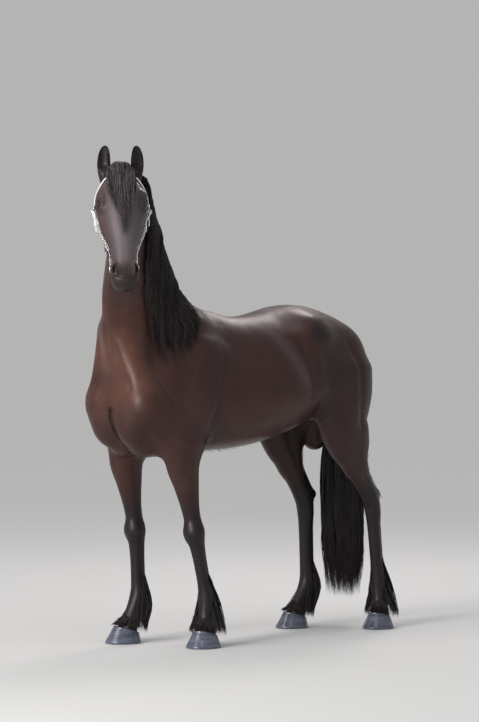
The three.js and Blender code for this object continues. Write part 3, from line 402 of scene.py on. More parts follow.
@dataclass(frozen=True)
class Leg:
    """A leg's joints, and toe, the degrees that the foot points out from straight ahead."""

    side: Side
    joints: Mapping[str, Array]
    toe: float
    fore: bool

    CROWN = 66.0
    SET_BACK = 14.0

    @property
    def heading(self) -> float:
        """The angle of the foot."""
        return -self.side.value * math.radians(self.toe)

    @property
    def across(self) -> Array:
        """The way across the foot."""
        return vec(-math.sin(self.heading), math.cos(self.heading), 0)

    @property
    def forward(self) -> Array:
        """The way that the foot points."""
        return vec(-math.cos(self.heading), -math.sin(self.heading), 0)

    @property
    def hoof(self) -> Array:
        """The middle of the hoof on the floor."""
        return self.joints["hoof"]

    @property
    def fetlock(self) -> Array:
        """The fetlock's middle."""
        return self.joints["fetlock"]

    @property
    def middle(self) -> Array:
        """The knee's or the hock's middle."""
        return self.joints["knee" if self.fore else "hock"]

    @property
    def foot(self) -> Array:
        """The place on the floor under the middle of the hoof's top."""
        return self.hoof - self.forward * self.SET_BACK

    @property
    def coronet(self) -> Array:
        """The middle of the top of the hoof."""
        return self.foot + UP * self.CROWN

    @property
    def name(self) -> str:
        """The leg's name in the model."""
        return f"{'fore' if self.fore else 'hind'}_{self.side.word}"

    def forms(self) -> list[tuple[Form, float]]:
        """The leg's forms with the widths of their blends."""
        return self._fore() if self.fore else self._hind()

    def _swept(self, rows: Sequence[tuple], cap: float) -> Sweep:
        """The leg's own sweep: rows of (centre, half width, reach in front, reach behind, turned)."""
        return Sweep.through([
            Station(at, wide, back, front, self.across if turned else None)
            for at, wide, front, back, turned in rows
        ], cap=cap)

    def _fore(self) -> list[tuple[Form, float]]:
        """The forms of a fore leg from the elbow to the coronet."""
        elbow, knee = self.joints["elbow"], self.joints["knee"]
        leg = self._swept([
            (elbow + vec(10, 0, 60), 74, 108, 108, False),
            (mix(elbow, knee, 0.1), 66, 92, 88, False),
            (mix(elbow, knee, 0.35), 54, 70, 66, False),
            (mix(elbow, knee, 0.65), 43, 49, 46, False),
            (mix(elbow, knee, 0.86), 41, 43, 43, False),
            (knee, 49, 50, 46, True),
            (mix(knee, self.fetlock, 0.2), 38, 39, 43, True),
            (mix(knee, self.fetlock, 0.45), 32, 34, 41, True),
            (mix(knee, self.fetlock, 0.78), 32, 34, 42, True),
            (self.fetlock, 41, 40, 46, True),
            (mix(self.fetlock, self.coronet, 0.5), 38, 38, 40, True),
            (self.coronet, 54, 50, 46, True),
        ], 0.5)
        knob = Oval(knee + self.forward * 12 + vec(0, 0, 4), (40, 47, 52))
        return [(leg, 50), (knob, 30)]

    def _hind(self) -> list[tuple[Form, float]]:
        """The forms of a hind leg from the thigh to the coronet."""
        hip, stifle, hock = (self.joints[n] for n in ("hip", "stifle", "hock"))
        leg = self._swept([
            (mix(hip, stifle, 0.1), 100, 190, 168, False),
            (mix(hip, stifle, 0.5), 100, 178, 164, False),
            (mix(hip, stifle, 0.88), 88, 128, 144, False),
            (mix(stifle, hock, 0.2), 72, 98, 108, False),
            (mix(stifle, hock, 0.45), 56, 68, 70, False),
            (mix(stifle, hock, 0.72), 43, 48, 52, False),
            (mix(stifle, hock, 0.95), 42, 46, 52, True),
            (mix(hock, self.fetlock, 0.12), 40, 42, 48, True),
            (mix(hock, self.fetlock, 0.32), 34, 37, 43, True),
            (mix(hock, self.fetlock, 0.78), 33, 36, 42, True),
            (self.fetlock, 41, 40, 46, True),
            (mix(self.fetlock, self.coronet, 0.5), 38, 38, 40, True),
            (self.coronet, 52, 50, 46, True),
        ], 0.6)
        heel = hock - self.forward * 44 + vec(0, 0, 42)
        point = Muscle(mix(hock, mix(stifle, hock, 0.55), 0.15), heel, (26, 22), 0.8, self.across)
        tendon = Muscle(heel, mix(stifle, hock, 0.45) - self.forward * 52, (17, 26), 0.7, self.across)
        behind = BACK * (95 if self.side is Side.LEFT else 120)
        calf = Muscle(mix(stifle, hock, 0.02) + behind, mix(stifle, hock, 0.5), (74, 54), 0.75)
        return [(leg, 60), (point, 22), (tendon, 20), (calf, 40)]


LEGS = (
    Leg(Side.LEFT, {
        "elbow": vec(303, -165, 890), "knee": vec(368, -180, 537),
        "fetlock": vec(428, -194, 236), "hoof": vec(402, -208, 0),
    }, toe=20, fore=True),
    Leg(Side.RIGHT, {
        "elbow": vec(235, 160, 890), "knee": vec(300, 165, 533),
        "fetlock": vec(320, 173, 226), "hoof": vec(252, 186, 0),
    }, toe=8, fore=True),
    Leg(Side.LEFT, {
        "hip": vec(1330, -165, 1320), "stifle": vec(1300, -180, 985), "hock": vec(1556, -148, 622),
        "fetlock": vec(1604, -142, 235), "hoof": vec(1592, -158, 0),
    }, toe=20, fore=False),
    Leg(Side.RIGHT, {
        "hip": vec(1300, 165, 1320), "stifle": vec(1205, 180, 985), "hock": vec(1373, 140, 613),
        "fetlock": vec(1386, 140, 220), "hoof": vec(1300, 142, 0),
    }, toe=6, fore=False),
)


@dataclass(frozen=True)
class Eye:
    """An eye: its ball, and the opening between its lids, half_wide long, upper and lower high."""

    side: Side
    place: tuple[float, float, float] = (206.0, 2.0, 92.0)
    radius: float = 23.0
    slant: float = math.radians(24)
    lid: float = 26.6
    half_wide: float = 22.5
    upper: float = 16.0
    lower: float = 12.5
    deep: float = 20.0

    @property
    def at(self) -> Array:
        """The middle of the eyeball."""
        l, f, w = self.place
        return HEAD.point(l, f, self.side.value * w)

    @property
    def out(self) -> Array:
        """The way that the eye looks."""
        return unit(HEAD.w * self.side.value * 0.93 + HEAD.f * 0.36)

    @property
    def brow(self) -> Array:
        """The way out of the face, along the eye's plane."""
        return unit(HEAD.f - self.out * (HEAD.f @ self.out))

    @property
    def up(self) -> Array:
        """Towards the upper lid."""
        back = np.cross(self.out, self.brow)
        back = back * -np.sign(back @ HEAD.l)
        return unit(self.brow * math.cos(self.slant) + back * math.sin(self.slant))

    @property
    def level(self) -> Array:
        """Along the opening."""
        return np.cross(self.up, self.out)

    def local(self, p: Array) -> Array:
        """Places along the opening, up and out."""
        rel = p - self.at
        return np.stack([rel @ self.level, rel @ self.up, rel @ self.out], axis=-1)

    def pressed(self, p: Array) -> Array:
        """How deep the skin is pressed in at points.

        Reach is 1 on the edge of the opening. The lids lie snug on the ball, the hole is inside them,
        and a rim is raised round it, with a fold over the upper lid.

        Args:
            p: the points, (n, 3).

        Returns:
            The depths, (n,).
        """
        x, y, z = self.local(p).T
        reach = np.sqrt((x / self.half_wide) ** 2 + (y / np.where(y > 0, self.upper, self.lower)) ** 2)
        snug = step(reach, 1.9, 1.1) * np.clip(np.sqrt(x * x + y * y + z * z) - self.lid, -2, 12)
        hole = self.deep * step(reach, 1.03, 0.86)
        rim = (1.2 + 2.0 * step(y, 0, 10)) * hump(reach, 1.16, 0.11)
        fold = 2.6 * hump(reach, 1.5, 0.1) * step(y, -4, 6)
        return np.where((z > 0) & (z < 70) & (reach < 2.6), snug + hole - rim + fold, 0)


EYES = tuple(Eye(side) for side in SIDES)


@dataclass(frozen=True)
class Nostril:
    """A nostril: a tall opening, bent like a comma, with a thick rim."""

    side: Side
    place: tuple[float, float, float] = (560.0, -27.0, 51.0)
    wide: float = 8.0
    tall: float = 20.0
    deep: float = 22.0
    rim: float = 3.2

    @property
    def at(self) -> Array:
        """Its middle."""
        l, f, w = self.place
        return HEAD.point(l, f, self.side.value * w)

    @property
    def out(self) -> Array:
        """The way that it opens."""
        return unit(HEAD.w * self.side.value * 0.66 + HEAD.l * 0.50 + HEAD.f * 0.56)

    @property
    def up(self) -> Array:
        """Along the opening."""
        way = UP + HEAD.w * self.side.value * 0.30
        return unit(way - self.out * (way @ self.out))

    def local(self, p: Array) -> Array:
        """Places across the opening towards the cheek, along it and out of it."""
        rel = p - self.at
        side = np.cross(self.up, self.out) * self.side.value
        return np.stack([rel @ side, rel @ self.up, rel @ self.out], axis=-1)

    def pressed(self, p: Array) -> Array:
        """How deep the skin is pressed in at points: the opening, and its raised rim."""
        x, y, z = self.local(p).T
        bent = x - 0.010 * y**2 + 1.5
        reach = np.sqrt((bent / (self.wide * (1 - 0.012 * y))) ** 2 + (y / self.tall) ** 2)
        hole = self.deep * step(reach, 1.1, 0.55)
        rim = self.rim * hump(reach, 1.45, 0.34)
        return np.where((np.abs(z) < 40) & (reach < 4), hole - rim, 0)

    def dark(self, p: Array) -> Array:
        """How dark the skin is at points, from 1 in the opening to 0 outside its rim: the dark skin round the
        nostril, and painted shade in its hollow.
        """
        x, y, z = self.local(p).T
        return np.exp(-((x / 15) ** 2 + (y / 27) ** 2) ** 2) * (np.abs(z) < 40)


NOSTRILS = tuple(Nostril(side) for side in SIDES)


@dataclass(frozen=True)
class Mouth:
    """The line of the mouth: the height in the head's frame at which it runs, and its run."""

    level: float = -92.0
    rise: float = 40.0
    corner: float = 496.0
    front: float = 602.0
    wide: float = 58.0

    def line(self, above: float = 0.0) -> Array:
        """The points of the line, or of one at a height above it, from corner to corner."""
        a = np.radians(np.linspace(-90, 90, 49))
        ahead = np.cos(a)
        l = self.corner + (self.front - self.corner) * ahead
        f = self.level + self.rise * ahead**1.3
        return FLESH.settle(HEAD.point(l + 0.5 * above * -ahead, f + above, self.wide * np.sin(a)))

    def near(self, p: Array, reach: float) -> Array:
        """Which points are within a reach of the line."""
        line = self.line()
        chosen = np.flatnonzero(within(p, line.min(0) - reach, line.max(0) + reach))
        result = np.zeros(len(p), bool)
        result[chosen] = np.linalg.norm(p[chosen, None] - line[None], axis=2).min(axis=1) < reach
        return result


MOUTH = Mouth()


def trunk_forms() -> list[tuple[Form, float]]:
    """The trunk, straight from the breast to the buttocks, with the widths of its blends.

    A row of the barrel is x, the level of its widest place, the half width there, top, bottom and peak.
    """
    rows = [
        (70, 1120, 130, 1240, 990, 1.7), (160, 1150, 190, 1380, 925, 1.5),
        (300, 1180, 222, 1530, 905, 1.35), (450, 1190, 242, 1606, 900, 1.3),
        (560, 1190, 262, 1577, 902, 1.45), (690, 1180, 284, 1547, 908, 1.75),
        (820, 1180, 294, 1545, 924, 2), (950, 1195, 290, 1562, 955, 2.15),
        (1060, 1220, 278, 1588, 995, 2.05), (1175, 1250, 266, 1602, 1040, 1.95),
        (1290, 1260, 246, 1572, 1070, 1.9), (1390, 1250, 208, 1500, 1090, 2),
        (1465, 1240, 148, 1405, 1120, 2),
    ]
    barrel = Sweep.through([
        Station(vec(x, 0, level), wide, top - level, level - bottom, None, peak)
        for x, level, wide, top, bottom, peak in rows
    ], cap=0.55)
    forms: list[tuple[Form, float]] = [(barrel, 1)]
    for side in SIDES:
        s = side.value
        shoulder_blade = Muscle(vec(440, s * 92, 1450), vec(160, s * 158, 1130), (88, 105), 0.6)
        shoulder = Muscle(vec(450, s * 158, 1320), vec(345, s * 165, 1010), (120, 105), 0.55)
        arm = Muscle(vec(110, s * 162, 1110), vec(270, s * 165, 985), (92, 95), 0.8)
        breast = Oval(vec(68, s * 86, 1075), (80, 92, 130))
        brisket = Muscle(vec(150, s * 70, 960), vec(330, s * 80, 960), (72, 60))
        neck_root = Muscle(vec(50, s * 45, 1480), vec(88, s * 138, 1180), (58, 76))
        hip = Oval(vec(1095, s * 195, 1448), (90, 52, 80))
        croup = Muscle(vec(1080, s * 104, 1452), vec(1370, s * 100, 1380), (98, 96))
        buttock = Muscle(vec(1388, s * 92, 1335), vec(1414, s * 108, 1180), (84, 82))
        thigh = Muscle(vec(1404, s * 118, 1250), vec(1446, s * 150, 930), (76, 60))
        forms += [(shoulder_blade, 80), (shoulder, 70), (arm, 50), (breast, 40), (brisket, 60),
                  (neck_root, 70), (hip, 90), (croup, 90), (buttock, 120), (thigh, 120)]
    return forms


CREST = np.array([
    [340, 0, 1300], [255, 0, 1425], [172, -12, 1590], [115, -38, 1750], [68, -74, 1900], [34, -102, 2030],
    [6, -114, 2125],
], dtype=float)


def neck_forms() -> list[tuple[Form, float]]:
    """The neck, which rises from the trunk and turns with the head.

    A row of its sizes is half width, reach above and below, the share of the head's turn, and peak.
    """
    sizes = [
        (155, 200, 220, 0, 2), (128, 280, 258, 0.05, 1.8), (106, 252, 226, 0.15, 1.7),
        (94, 244, 190, 0.3, 1.7), (85, 222, 158, 0.5, 1.8), (78, 176, 122, 0.7, 1.9),
        (72, 116, 90, 0.9, 2),
    ]
    neck = Sweep.through([
        Station(at, wide, up, down, unit(mix(RIGHT, HEAD.w, turn)), peak)
        for at, (wide, up, down, turn, peak) in zip(CREST, sizes)
    ])
    return [(neck, 90)]


def head_forms() -> list[tuple[Form, float]]:
    """The head, with the widths of its blends."""
    def stations(*rows: tuple[float, float, float, float, float]) -> list[Station]:
        """Ovals from rows of l, the middle's f, half width, and the f of top and bottom."""
        return [Station(HEAD.point(l, middle, 0), wide, top - middle, middle - bottom)
                for l, middle, wide, top, bottom in rows]

    skull = Sweep.through(stations(
        (-5, -25, 62, 22, -85), (60, -32, 97, 46, -130), (130, -36, 118, 62, -150),
        (200, -38, 119, 66, -150), (270, -42, 104, 60, -145), (340, -46, 84, 50, -135),
        (420, -52, 62, 36, -125), (500, -58, 56, 19, -120), (560, -64, 56, 2, -112),
        (598, -70, 47, -24, -108),
    ), side=HEAD.w, cap=0.6)
    jaw = Sweep.through(stations(
        (150, -140, 52, -90, -190), (225, -155, 62, -90, -215), (310, -150, 46, -100, -200),
        (410, -134, 33, -98, -172), (500, -126, 31, -96, -154), (572, -122, 35, -98, -150),
    ), side=HEAD.w)
    forms: list[tuple[Form, float]] = [(skull, 30), (jaw, 25)]
    axes = (HEAD.l, HEAD.w, HEAD.f)
    for side in SIDES:
        s = side.value
        cheek = Oval(HEAD.point(230, -118, s * 60), (112, 38, 92), axes)
        brow = Muscle(HEAD.point(158, 22, s * 97), HEAD.point(222, 20, s * 99), (22, 20))
        cheek_ridge = Muscle(HEAD.point(245, -52, s * 86), HEAD.point(370, -58, s * 60), (15, 10))
        nostril = Oval(HEAD.point(556, -48, s * 42), (38, 22, 30), axes)
        forms += [(cheek, 30), (brow, 22), (cheek_ridge, 18), (nostril, 20)]
    for eye in EYES:
        forms.append((Oval(eye.at, (37, 29, 26), (np.cross(eye.brow, eye.out), eye.brow, eye.out)), 14))
    lips = Oval(HEAD.point(586, -98, 0), (34, 46, 30), axes)
    return [*forms, (lips, 60)]


@dataclass
class Flesh:
    """The whole flesh as one distance, blended from its forms in order."""

    forms: list[tuple[Form, float]] = field(default_factory=lambda: [
        *trunk_forms(), *neck_forms(), *(pair for leg in LEGS for pair in leg.forms()), *head_forms(),
    ])
    far: float = 400.0
    reach: float = 60.0

    FLATTEST = 0.2
    LONGEST_MOVE = 30.0
    RAY_ROUNDS = 24
    RAY_PACE = 0.8

    def distance(self, p: Array) -> Array:
        """How far points are outside the flesh.

        The smaller of two distances a and b, rounded over a width k where they are close:
        min(a, b) - k h^2 / 4 with h = max(k - |a - b|, 0) / k.

        Args:
            p: the points, (n, 3).

        Returns:
            The distances, (n,), right near the surface.
        """
        d = np.full(len(p), self.far)
        for form, k in self.forms:
            lo, hi = form.box()
            margin = k + self.reach
            near = np.flatnonzero(within(p, lo - margin, hi + margin))
            if not len(near):
                continue
            a, b = d[near], form.distance(p[near])
            h = np.maximum(k - np.abs(a - b), 0) / k
            d[near] = np.minimum(a, b) - h * h * k / 4
        return d

    def slope(self, p: Array, e: float = 2.0) -> Array:
        """The way in which the distance grows, from its values at the corners of a tetrahedron."""
        corners = np.array([[1, -1, -1], [-1, -1, 1], [-1, 1, -1], [1, 1, 1]], dtype=float)
        values = self.distance((p[:, None] + e * corners).reshape(-1, 3)).reshape(-1, 4)
        return values @ corners / (4 * e)

    def out(self, p: Array) -> Array:
        """The unit direction out of the flesh at points, (..., 3)."""
        return unit(self.slope(p.reshape(-1, 3))).reshape(p.shape)

    def settle(self, p: Array, above: Array | float = 0.0, rounds: int = 4) -> Array:
        """The points moved to a distance above the flesh, along its slope.

        Args:
            p: the points, (n, 3) or one point.
            above: the distance that they should have.
            rounds: how often they are moved.

        Returns:
            The settled points.
        """
        q = np.atleast_2d(p).astype(float)
        above = np.broadcast_to(above, len(q))
        for _ in range(rounds):
            slope = self.slope(q)
            move = (self.distance(q) - above) / np.maximum(dot(slope, slope), self.FLATTEST)
            q = q - slope * np.clip(move, -self.LONGEST_MOVE, self.LONGEST_MOVE)[:, None]
        return q if np.ndim(p) > 1 else q[0]

    def surface(self, start: Array, way: Array, above: Array | float = 0.0) -> Array:
        """Where rays from inside the flesh come out, at a distance above the surface."""
        start, way = np.broadcast_arrays(np.atleast_2d(start), np.atleast_2d(way))
        reach = np.zeros(len(start))
        for _ in range(self.RAY_ROUNDS):
            reach -= self.RAY_PACE * (self.distance(start + way * reach[:, None]) - above)
        return start + way * reach[:, None]

    def fall(self, root: Array, way: Array, size: Array, steps: int, weight: float, above: Array,
             cling: float, drift: Array) -> Array:
        """The lines that hair or ribbons take: each leaves its root and falls, and lies on the flesh.

        Args:
            root: where the lines start, (n, 3).
            way: the directions in which they leave, (n, 3).
            size: their lengths, (n,).
            steps: the number of steps in each.
            weight: how strongly each step turns down.
            above: their heights over the flesh, (n,).
            cling: the share of the height over the flesh that is lost at each step.
            drift: which way they lean as they fall, (n, 3).

        Returns:
            The lines, (n, steps + 1, 3).
        """
        path = [root]
        heading = unit(way)
        stride = (size / steps)[:, None]
        for _ in range(steps):
            heading = unit(heading + (drift - UP) * weight)
            p = path[-1] + heading * stride
            d = self.distance(p)
            drop = (above - d) * np.where(d < above, 1.0, cling)
            p = p + self.out(p) * drop[:, None]
            heading = unit(p - path[-1])
            path.append(p)
        return np.stack(path, axis=1)


FLESH = Flesh()


# Meshes

@dataclass(frozen=True)
class HoofForm:
    """A hoof's width and length, and how its length is shared before and behind its middle."""

    wide: float
    long: float
    before: float = 0.56
    behind: float = 0.4

    @classmethod
    def of(cls, leg: Leg) -> "HoofForm":
        """The form of a leg's hoof."""
        return cls(150.0, 168.0) if leg.fore else cls(142.0, 160.0)

    def ring(self, leg: Leg, scale: float, shift: float, level: float, slope: float, around: int) -> Array:
        """One ring of a hoof: a half oval in front and a shorter one behind, tilted by a slope.

        Args:
            leg: the leg that it ends.
            scale: the ring's share of the full size.
            shift: how far its middle is moved forward.
            level: its height.
            slope: how much it rises towards the toe.
            around: the number of points.

        Returns:
            The ring, (around, 3).
        """
        a = turn_of(around)
        toe = np.cos(a)
        u = shift + scale * toe * np.where(toe > 0, self.long * self.before, self.long * self.behind)
        v = scale * np.sin(a) * self.wide / 2
        base = leg.hoof + UP * level + UP * slope * u[:, None]
        return base + leg.forward * u[:, None] - leg.across * v[:, None]


def frame_shift() -> Array:
    """How far the horse's own frame is from the model's, from the place of the left fore hoof."""
    ring = HoofForm.of(LEGS[0]).ring(LEGS[0], scale=1, shift=0, level=8, slope=0, around=14)
    low = np.array(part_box("hoof_fore_left")[0]) / MM
    return vec(ring[:, 0].min() - low[0], ring[:, 1].min() - low[1], 0)


SHIFT = frame_shift()


@dataclass
class Surface:
    """A mesh under construction: its points, faces, and what varies over them."""

    points: Array
    quads: Array = field(default_factory=lambda: np.empty((0, 4), int))
    tris: Array = field(default_factory=lambda: np.empty((0, 3), int))
    values: dict[str, Array] = field(default_factory=dict)
    bake: Array | None = None

    @classmethod
    def joined(cls, parts: Sequence["Surface"]) -> "Surface":
        """Several surfaces as one."""
        starts = np.cumsum([0] + [len(s.points) for s in parts[:-1]])
        return cls(
            np.concatenate([s.points for s in parts]),
            np.concatenate([s.quads + n for s, n in zip(parts, starts)]),
            np.concatenate([s.tris + n for s, n in zip(parts, starts)]),
            {k: np.concatenate([s.values[k] for s in parts]) for k in parts[0].values},
            None if parts[0].bake is None else np.concatenate([s.bake for s in parts]),
        )

    def piece(self, name: str, slot: str, finish: "Finish", *replaces: str) -> None:
        """Makes the mesh object, which rides on the body.

        Args:
            name: the piece's name.
            slot: not used.
            finish: its finish.
            replaces: the nodes that it stands for.
        """
        mesh = bpy.data.meshes.new(name)
        corners = np.concatenate([self.quads.ravel(), self.tris.ravel()])
        counts = np.concatenate([np.full(len(self.quads), 4), np.full(len(self.tris), 3)])
        mesh.vertices.add(len(self.points))
        mesh.vertices.foreach_set("co", ((self.points - SHIFT) * MM).astype(np.float32).ravel())
        mesh.loops.add(len(corners))
        mesh.loops.foreach_set("vertex_index", corners.astype(np.int32))
        mesh.polygons.add(len(counts))
        starts = np.concatenate([[0], np.cumsum(counts)[:-1]])
        mesh.polygons.foreach_set("loop_start", starts.astype(np.int32))
        mesh.polygons.foreach_set("use_smooth", np.full(len(counts), True))
        mesh.update(calc_edges=True)
        for key, value in self.values.items():
            kind, entry = ("FLOAT_VECTOR", "vector") if value.ndim > 1 else ("FLOAT", "value")
            carried = mesh.attributes.new(key, kind, "POINT")
            carried.data.foreach_set(entry, value.astype(np.float32).ravel())
        if self.bake is not None:
            unwrap = mesh.uv_layers.new(name="OFBake")
            unwrap.data.foreach_set("uv", self.bake[corners].astype(np.float32).ravel())
        mesh.validate()
        mesh.materials.append(finish.material())
        obj = bpy.data.objects.new(name, mesh)
        bpy.context.collection.objects.link(obj)
        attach(obj, BODY)
        if replaces:
            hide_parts(*replaces)
        log.info("%-26s %7d triangles", name, 2 * len(self.quads) + len(self.tris))


def grid_quads(rows: int, around: int) -> Array:
    """The faces of rings of points: each joins two neighbours of a ring to the next ring's."""
    i, j = np.meshgrid(np.arange(rows - 1), np.arange(around), indexing="ij")
    a = i * around + j
    b = i * around + (j + 1) % around
    return np.stack([a, b, b + around, a + around], axis=-1).reshape(-1, 4)


def lofted(rings: Array) -> Surface:
    """A surface through rings, (rows, around, 3), its ends closed with a fan to their middles."""
    rows, around = rings.shape[:2]
    n = rows * around
    points = np.concatenate([rings.reshape(-1, 3), rings[0].mean(0)[None], rings[-1].mean(0)[None]])
    j = np.arange(around)
    k = (j + 1) % around
    tris = np.concatenate([np.stack([np.full(around, n), k, j], 1),
                           np.stack([np.full(around, n + 1), j + n - around, k + n - around], 1)])
    return turned_out(Surface(points, grid_quads(rows, around), tris))


def turned_out(surface: Surface) -> Surface:
    """A surface with its faces turned to point outwards, by the sign of its volume."""
    fans = np.concatenate([surface.quads[:, [0, 1, 2]], surface.quads[:, [0, 2, 3]], surface.tris])
    p = surface.points - surface.points.mean(0)
    a, b, c = (p[fans[:, i]] for i in range(3))
    if dot(a, np.cross(b, c)).sum() < 0:
        surface.quads = surface.quads[:, ::-1]
        surface.tris = surface.tris[:, ::-1]
    return surface


def swept(path: Array, profile: Array, up: Array, sizes: Array | None = None) -> Surface:
    """A profile carried along a path: p + side * x + up * y for each point (x, y) of the profile.

    Args:
        path: the points of the path, (n, 3).
        profile: the section's points, (m, 2), across and up.
        up: the way up at each point, or one way.
        sizes: a factor for the section at each point.

    Returns:
        The closed surface.
    """
    along = tangents(path)
    up = np.broadcast_to(up, path.shape)
    side = unit(np.cross(along, up))
    rise = np.cross(side, along)
    scale = np.ones(len(path)) if sizes is None else sizes
    x, y = profile.T
    section = side[:, None] * x[None, :, None] + rise[:, None] * y[None, :, None]
    return lofted(path[:, None] + section * scale[:, None, None])


def round_profile(wide: float, high: float, around: int, square: float) -> Array:
    """A section: an oval where square is 2, and a rounded rectangle above: sign(c) |c|^(2 / square)."""
    a = turn_of(around)
    c, s = np.cos(a), np.sin(a)
    power = 2 / square
    x = np.sign(c) * np.abs(c) ** power * wide / 2
    y = np.sign(s) * np.abs(s) ** power * high / 2
    return np.stack([x, y], axis=1)


# Shaders

@dataclass
class Wire:
    """A node's output, with the operators that add Math nodes."""

    paint: "Paint"
    socket: bpy.types.NodeSocket

    def _math(self, operation: str, a: "Wire | float", b: "Wire | float") -> "Wire":
        """The output of a Math node on a and b."""
        return self.paint.node("ShaderNodeMath", {"operation": operation}, {0: a, 1: b})

    def __add__(self, other: "Wire | float") -> "Wire":
        """The sum."""
        return self._math("ADD", self, other)

    def __radd__(self, other: float) -> "Wire":
        """The sum with a number in front."""
        return self._math("ADD", other, self)

    def __rsub__(self, other: float) -> "Wire":
        """A number less this."""
        return self._math("SUBTRACT", other, self)

    def __mul__(self, other: "Wire | float") -> "Wire":
        """The product."""
        return self._math("MULTIPLY", self, other)

    def __rmul__(self, other: float) -> "Wire":
        """The product with a number in front."""
        return self._math("MULTIPLY", other, self)

    def __pow__(self, other: float) -> "Wire":
        """The power."""
        return self._math("POWER", self, other)


Colour = tuple[float, float, float]


def shade(colour: Colour, by: float) -> Colour:
    """A colour made darker or lighter by a factor."""
    return tuple(c * by for c in colour)


@dataclass
class Paint:
    """A material under construction."""

    name: str

    def __post_init__(self) -> None:
        """Starts the material's empty tree."""
        self.material = bpy.data.materials.new(self.name)
        self.material.use_nodes = True
        self.tree = self.material.node_tree
        self.tree.nodes.clear()

    def node(self, kind: str, settings: Mapping | None = None, values: Mapping | None = None,
             out: int | str = 0) -> Wire:
        """Adds a node.

        Args:
            kind: the node's type.
            settings: its properties, set first. A ramp's stops are given as "stops".
            values: numbers, colours or links for its sockets.
            out: the output that is wanted.

        Returns:
            The wanted output.
        """
        made = self.tree.nodes.new(kind)
        for key, value in (settings or {}).items():
            if key == "stops":
                self._stops(made.color_ramp, value)
            else:
                setattr(made, key, value)
        for key, value in (values or {}).items():
            if isinstance(value, Wire):
                self.tree.links.new(value.socket, made.inputs[key])
            elif isinstance(value, tuple) and len(value) == 3 and made.inputs[key].type == "RGBA":
                made.inputs[key].default_value = (*value, 1)
            else:
                made.inputs[key].default_value = value
        return Wire(self, made.outputs[out])

    @staticmethod
    def _stops(ramp: bpy.types.ColorRamp, stops: Sequence[tuple[float, Colour]]) -> None:
        """Sets a ramp's stops from (place, colour)."""
        while len(ramp.elements) < len(stops):
            ramp.elements.new(0.5)
        for element, (at, colour) in zip(ramp.elements, stops):
            element.position = at
            element.color = (*colour, 1)

    def value(self, name: str) -> Wire:
        """A number that the mesh carries."""
        return self.node("ShaderNodeAttribute", {"attribute_name": name}, out="Fac")

    def vector(self, name: str) -> Wire:
        """A vector that the mesh carries."""
        return self.node("ShaderNodeAttribute", {"attribute_name": name}, out="Vector")

    def parts(self, name: str) -> tuple[Wire, ...]:
        """The three numbers of a vector that the mesh carries."""
        split = self.node("ShaderNodeSeparateXYZ", values={0: self.vector(name)})
        return tuple(Wire(self, out) for out in split.socket.node.outputs)

    def place(self) -> Wire:
        """The place on the piece, in metres."""
        return self.node("ShaderNodeTexCoord", out="Object")

    def mapped(self, scale: Colour, turn: Colour = (0, 0, 0)) -> Wire:
        """The place turned and scaled."""
        return self.node("ShaderNodeMapping", {"vector_type": "POINT"},
                         {"Vector": self.place(), "Rotation": turn, "Scale": scale})

    def noise(self, vector: Wire, scale: float, detail: float) -> Wire:
        """Noise from 0 to 1."""
        values = {"Vector": vector, "Scale": scale, "Detail": detail, "Roughness": 0.55}
        return self.node("ShaderNodeTexNoise", values=values)

    def streaks(self, scale: Colour, turn: Colour = (0, 0, 0), detail: float = 2) -> Wire:
        """Noise drawn out along the way that is scaled least."""
        return self.noise(self.mapped(scale, turn), 1.0, detail)

    def blend(self, share: Wire | float, a: Wire | Colour, b: Wire | Colour, how: str = "MIX") -> Wire:
        """A mix of two colours."""
        return self.node("ShaderNodeMix", {"data_type": "RGBA", "blend_type": how},
                         {0: share, 6: a, 7: b}, out=2)

    def ramp(self, share: Wire, stops: Sequence[tuple[float, Colour]]) -> Wire:
        """A colour from stops."""
        return self.node("ShaderNodeValToRGB", {"stops": stops}, {0: share})

    def rise(self, share: Wire, low: float, high: float) -> Wire:
        """A number that rises from 0 to 1 between two values."""
        return self.node("ShaderNodeMapRange", {"clamp": True, "interpolation_type": "SMOOTHSTEP"},
                         {0: share, 1: low, 2: high, 3: 0.0, 4: 1.0})

    def bump(self, height: Wire, strength: float, distance: float, normal: Wire | None = None) -> Wire:
        """A bumped normal."""
        values = {"Height": height, "Strength": strength, "Distance": distance}
        if normal is not None:
            values["Normal"] = normal
        return self.node("ShaderNodeBump", values=values)

    def finish(self, values: Mapping) -> bpy.types.Material:
        """Ends the material in one Principled surface."""
        surface = self.node("ShaderNodeBsdfPrincipled", values=values)
        output = self.tree.nodes.new("ShaderNodeOutputMaterial")
        self.tree.links.new(surface.socket, output.inputs["Surface"])
        return self.material


class Finish:
    """A finish that keeps its material once it is made."""

    _made: dict[str, bpy.types.Material] = {}

    def paint(self) -> bpy.types.Material:
        """Builds the material."""
        raise NotImplementedError

    def material(self) -> bpy.types.Material:
        """The finish's material."""
        key = repr(self)
        if key not in Finish._made:
            Finish._made[key] = self.paint()
        return Finish._made[key]


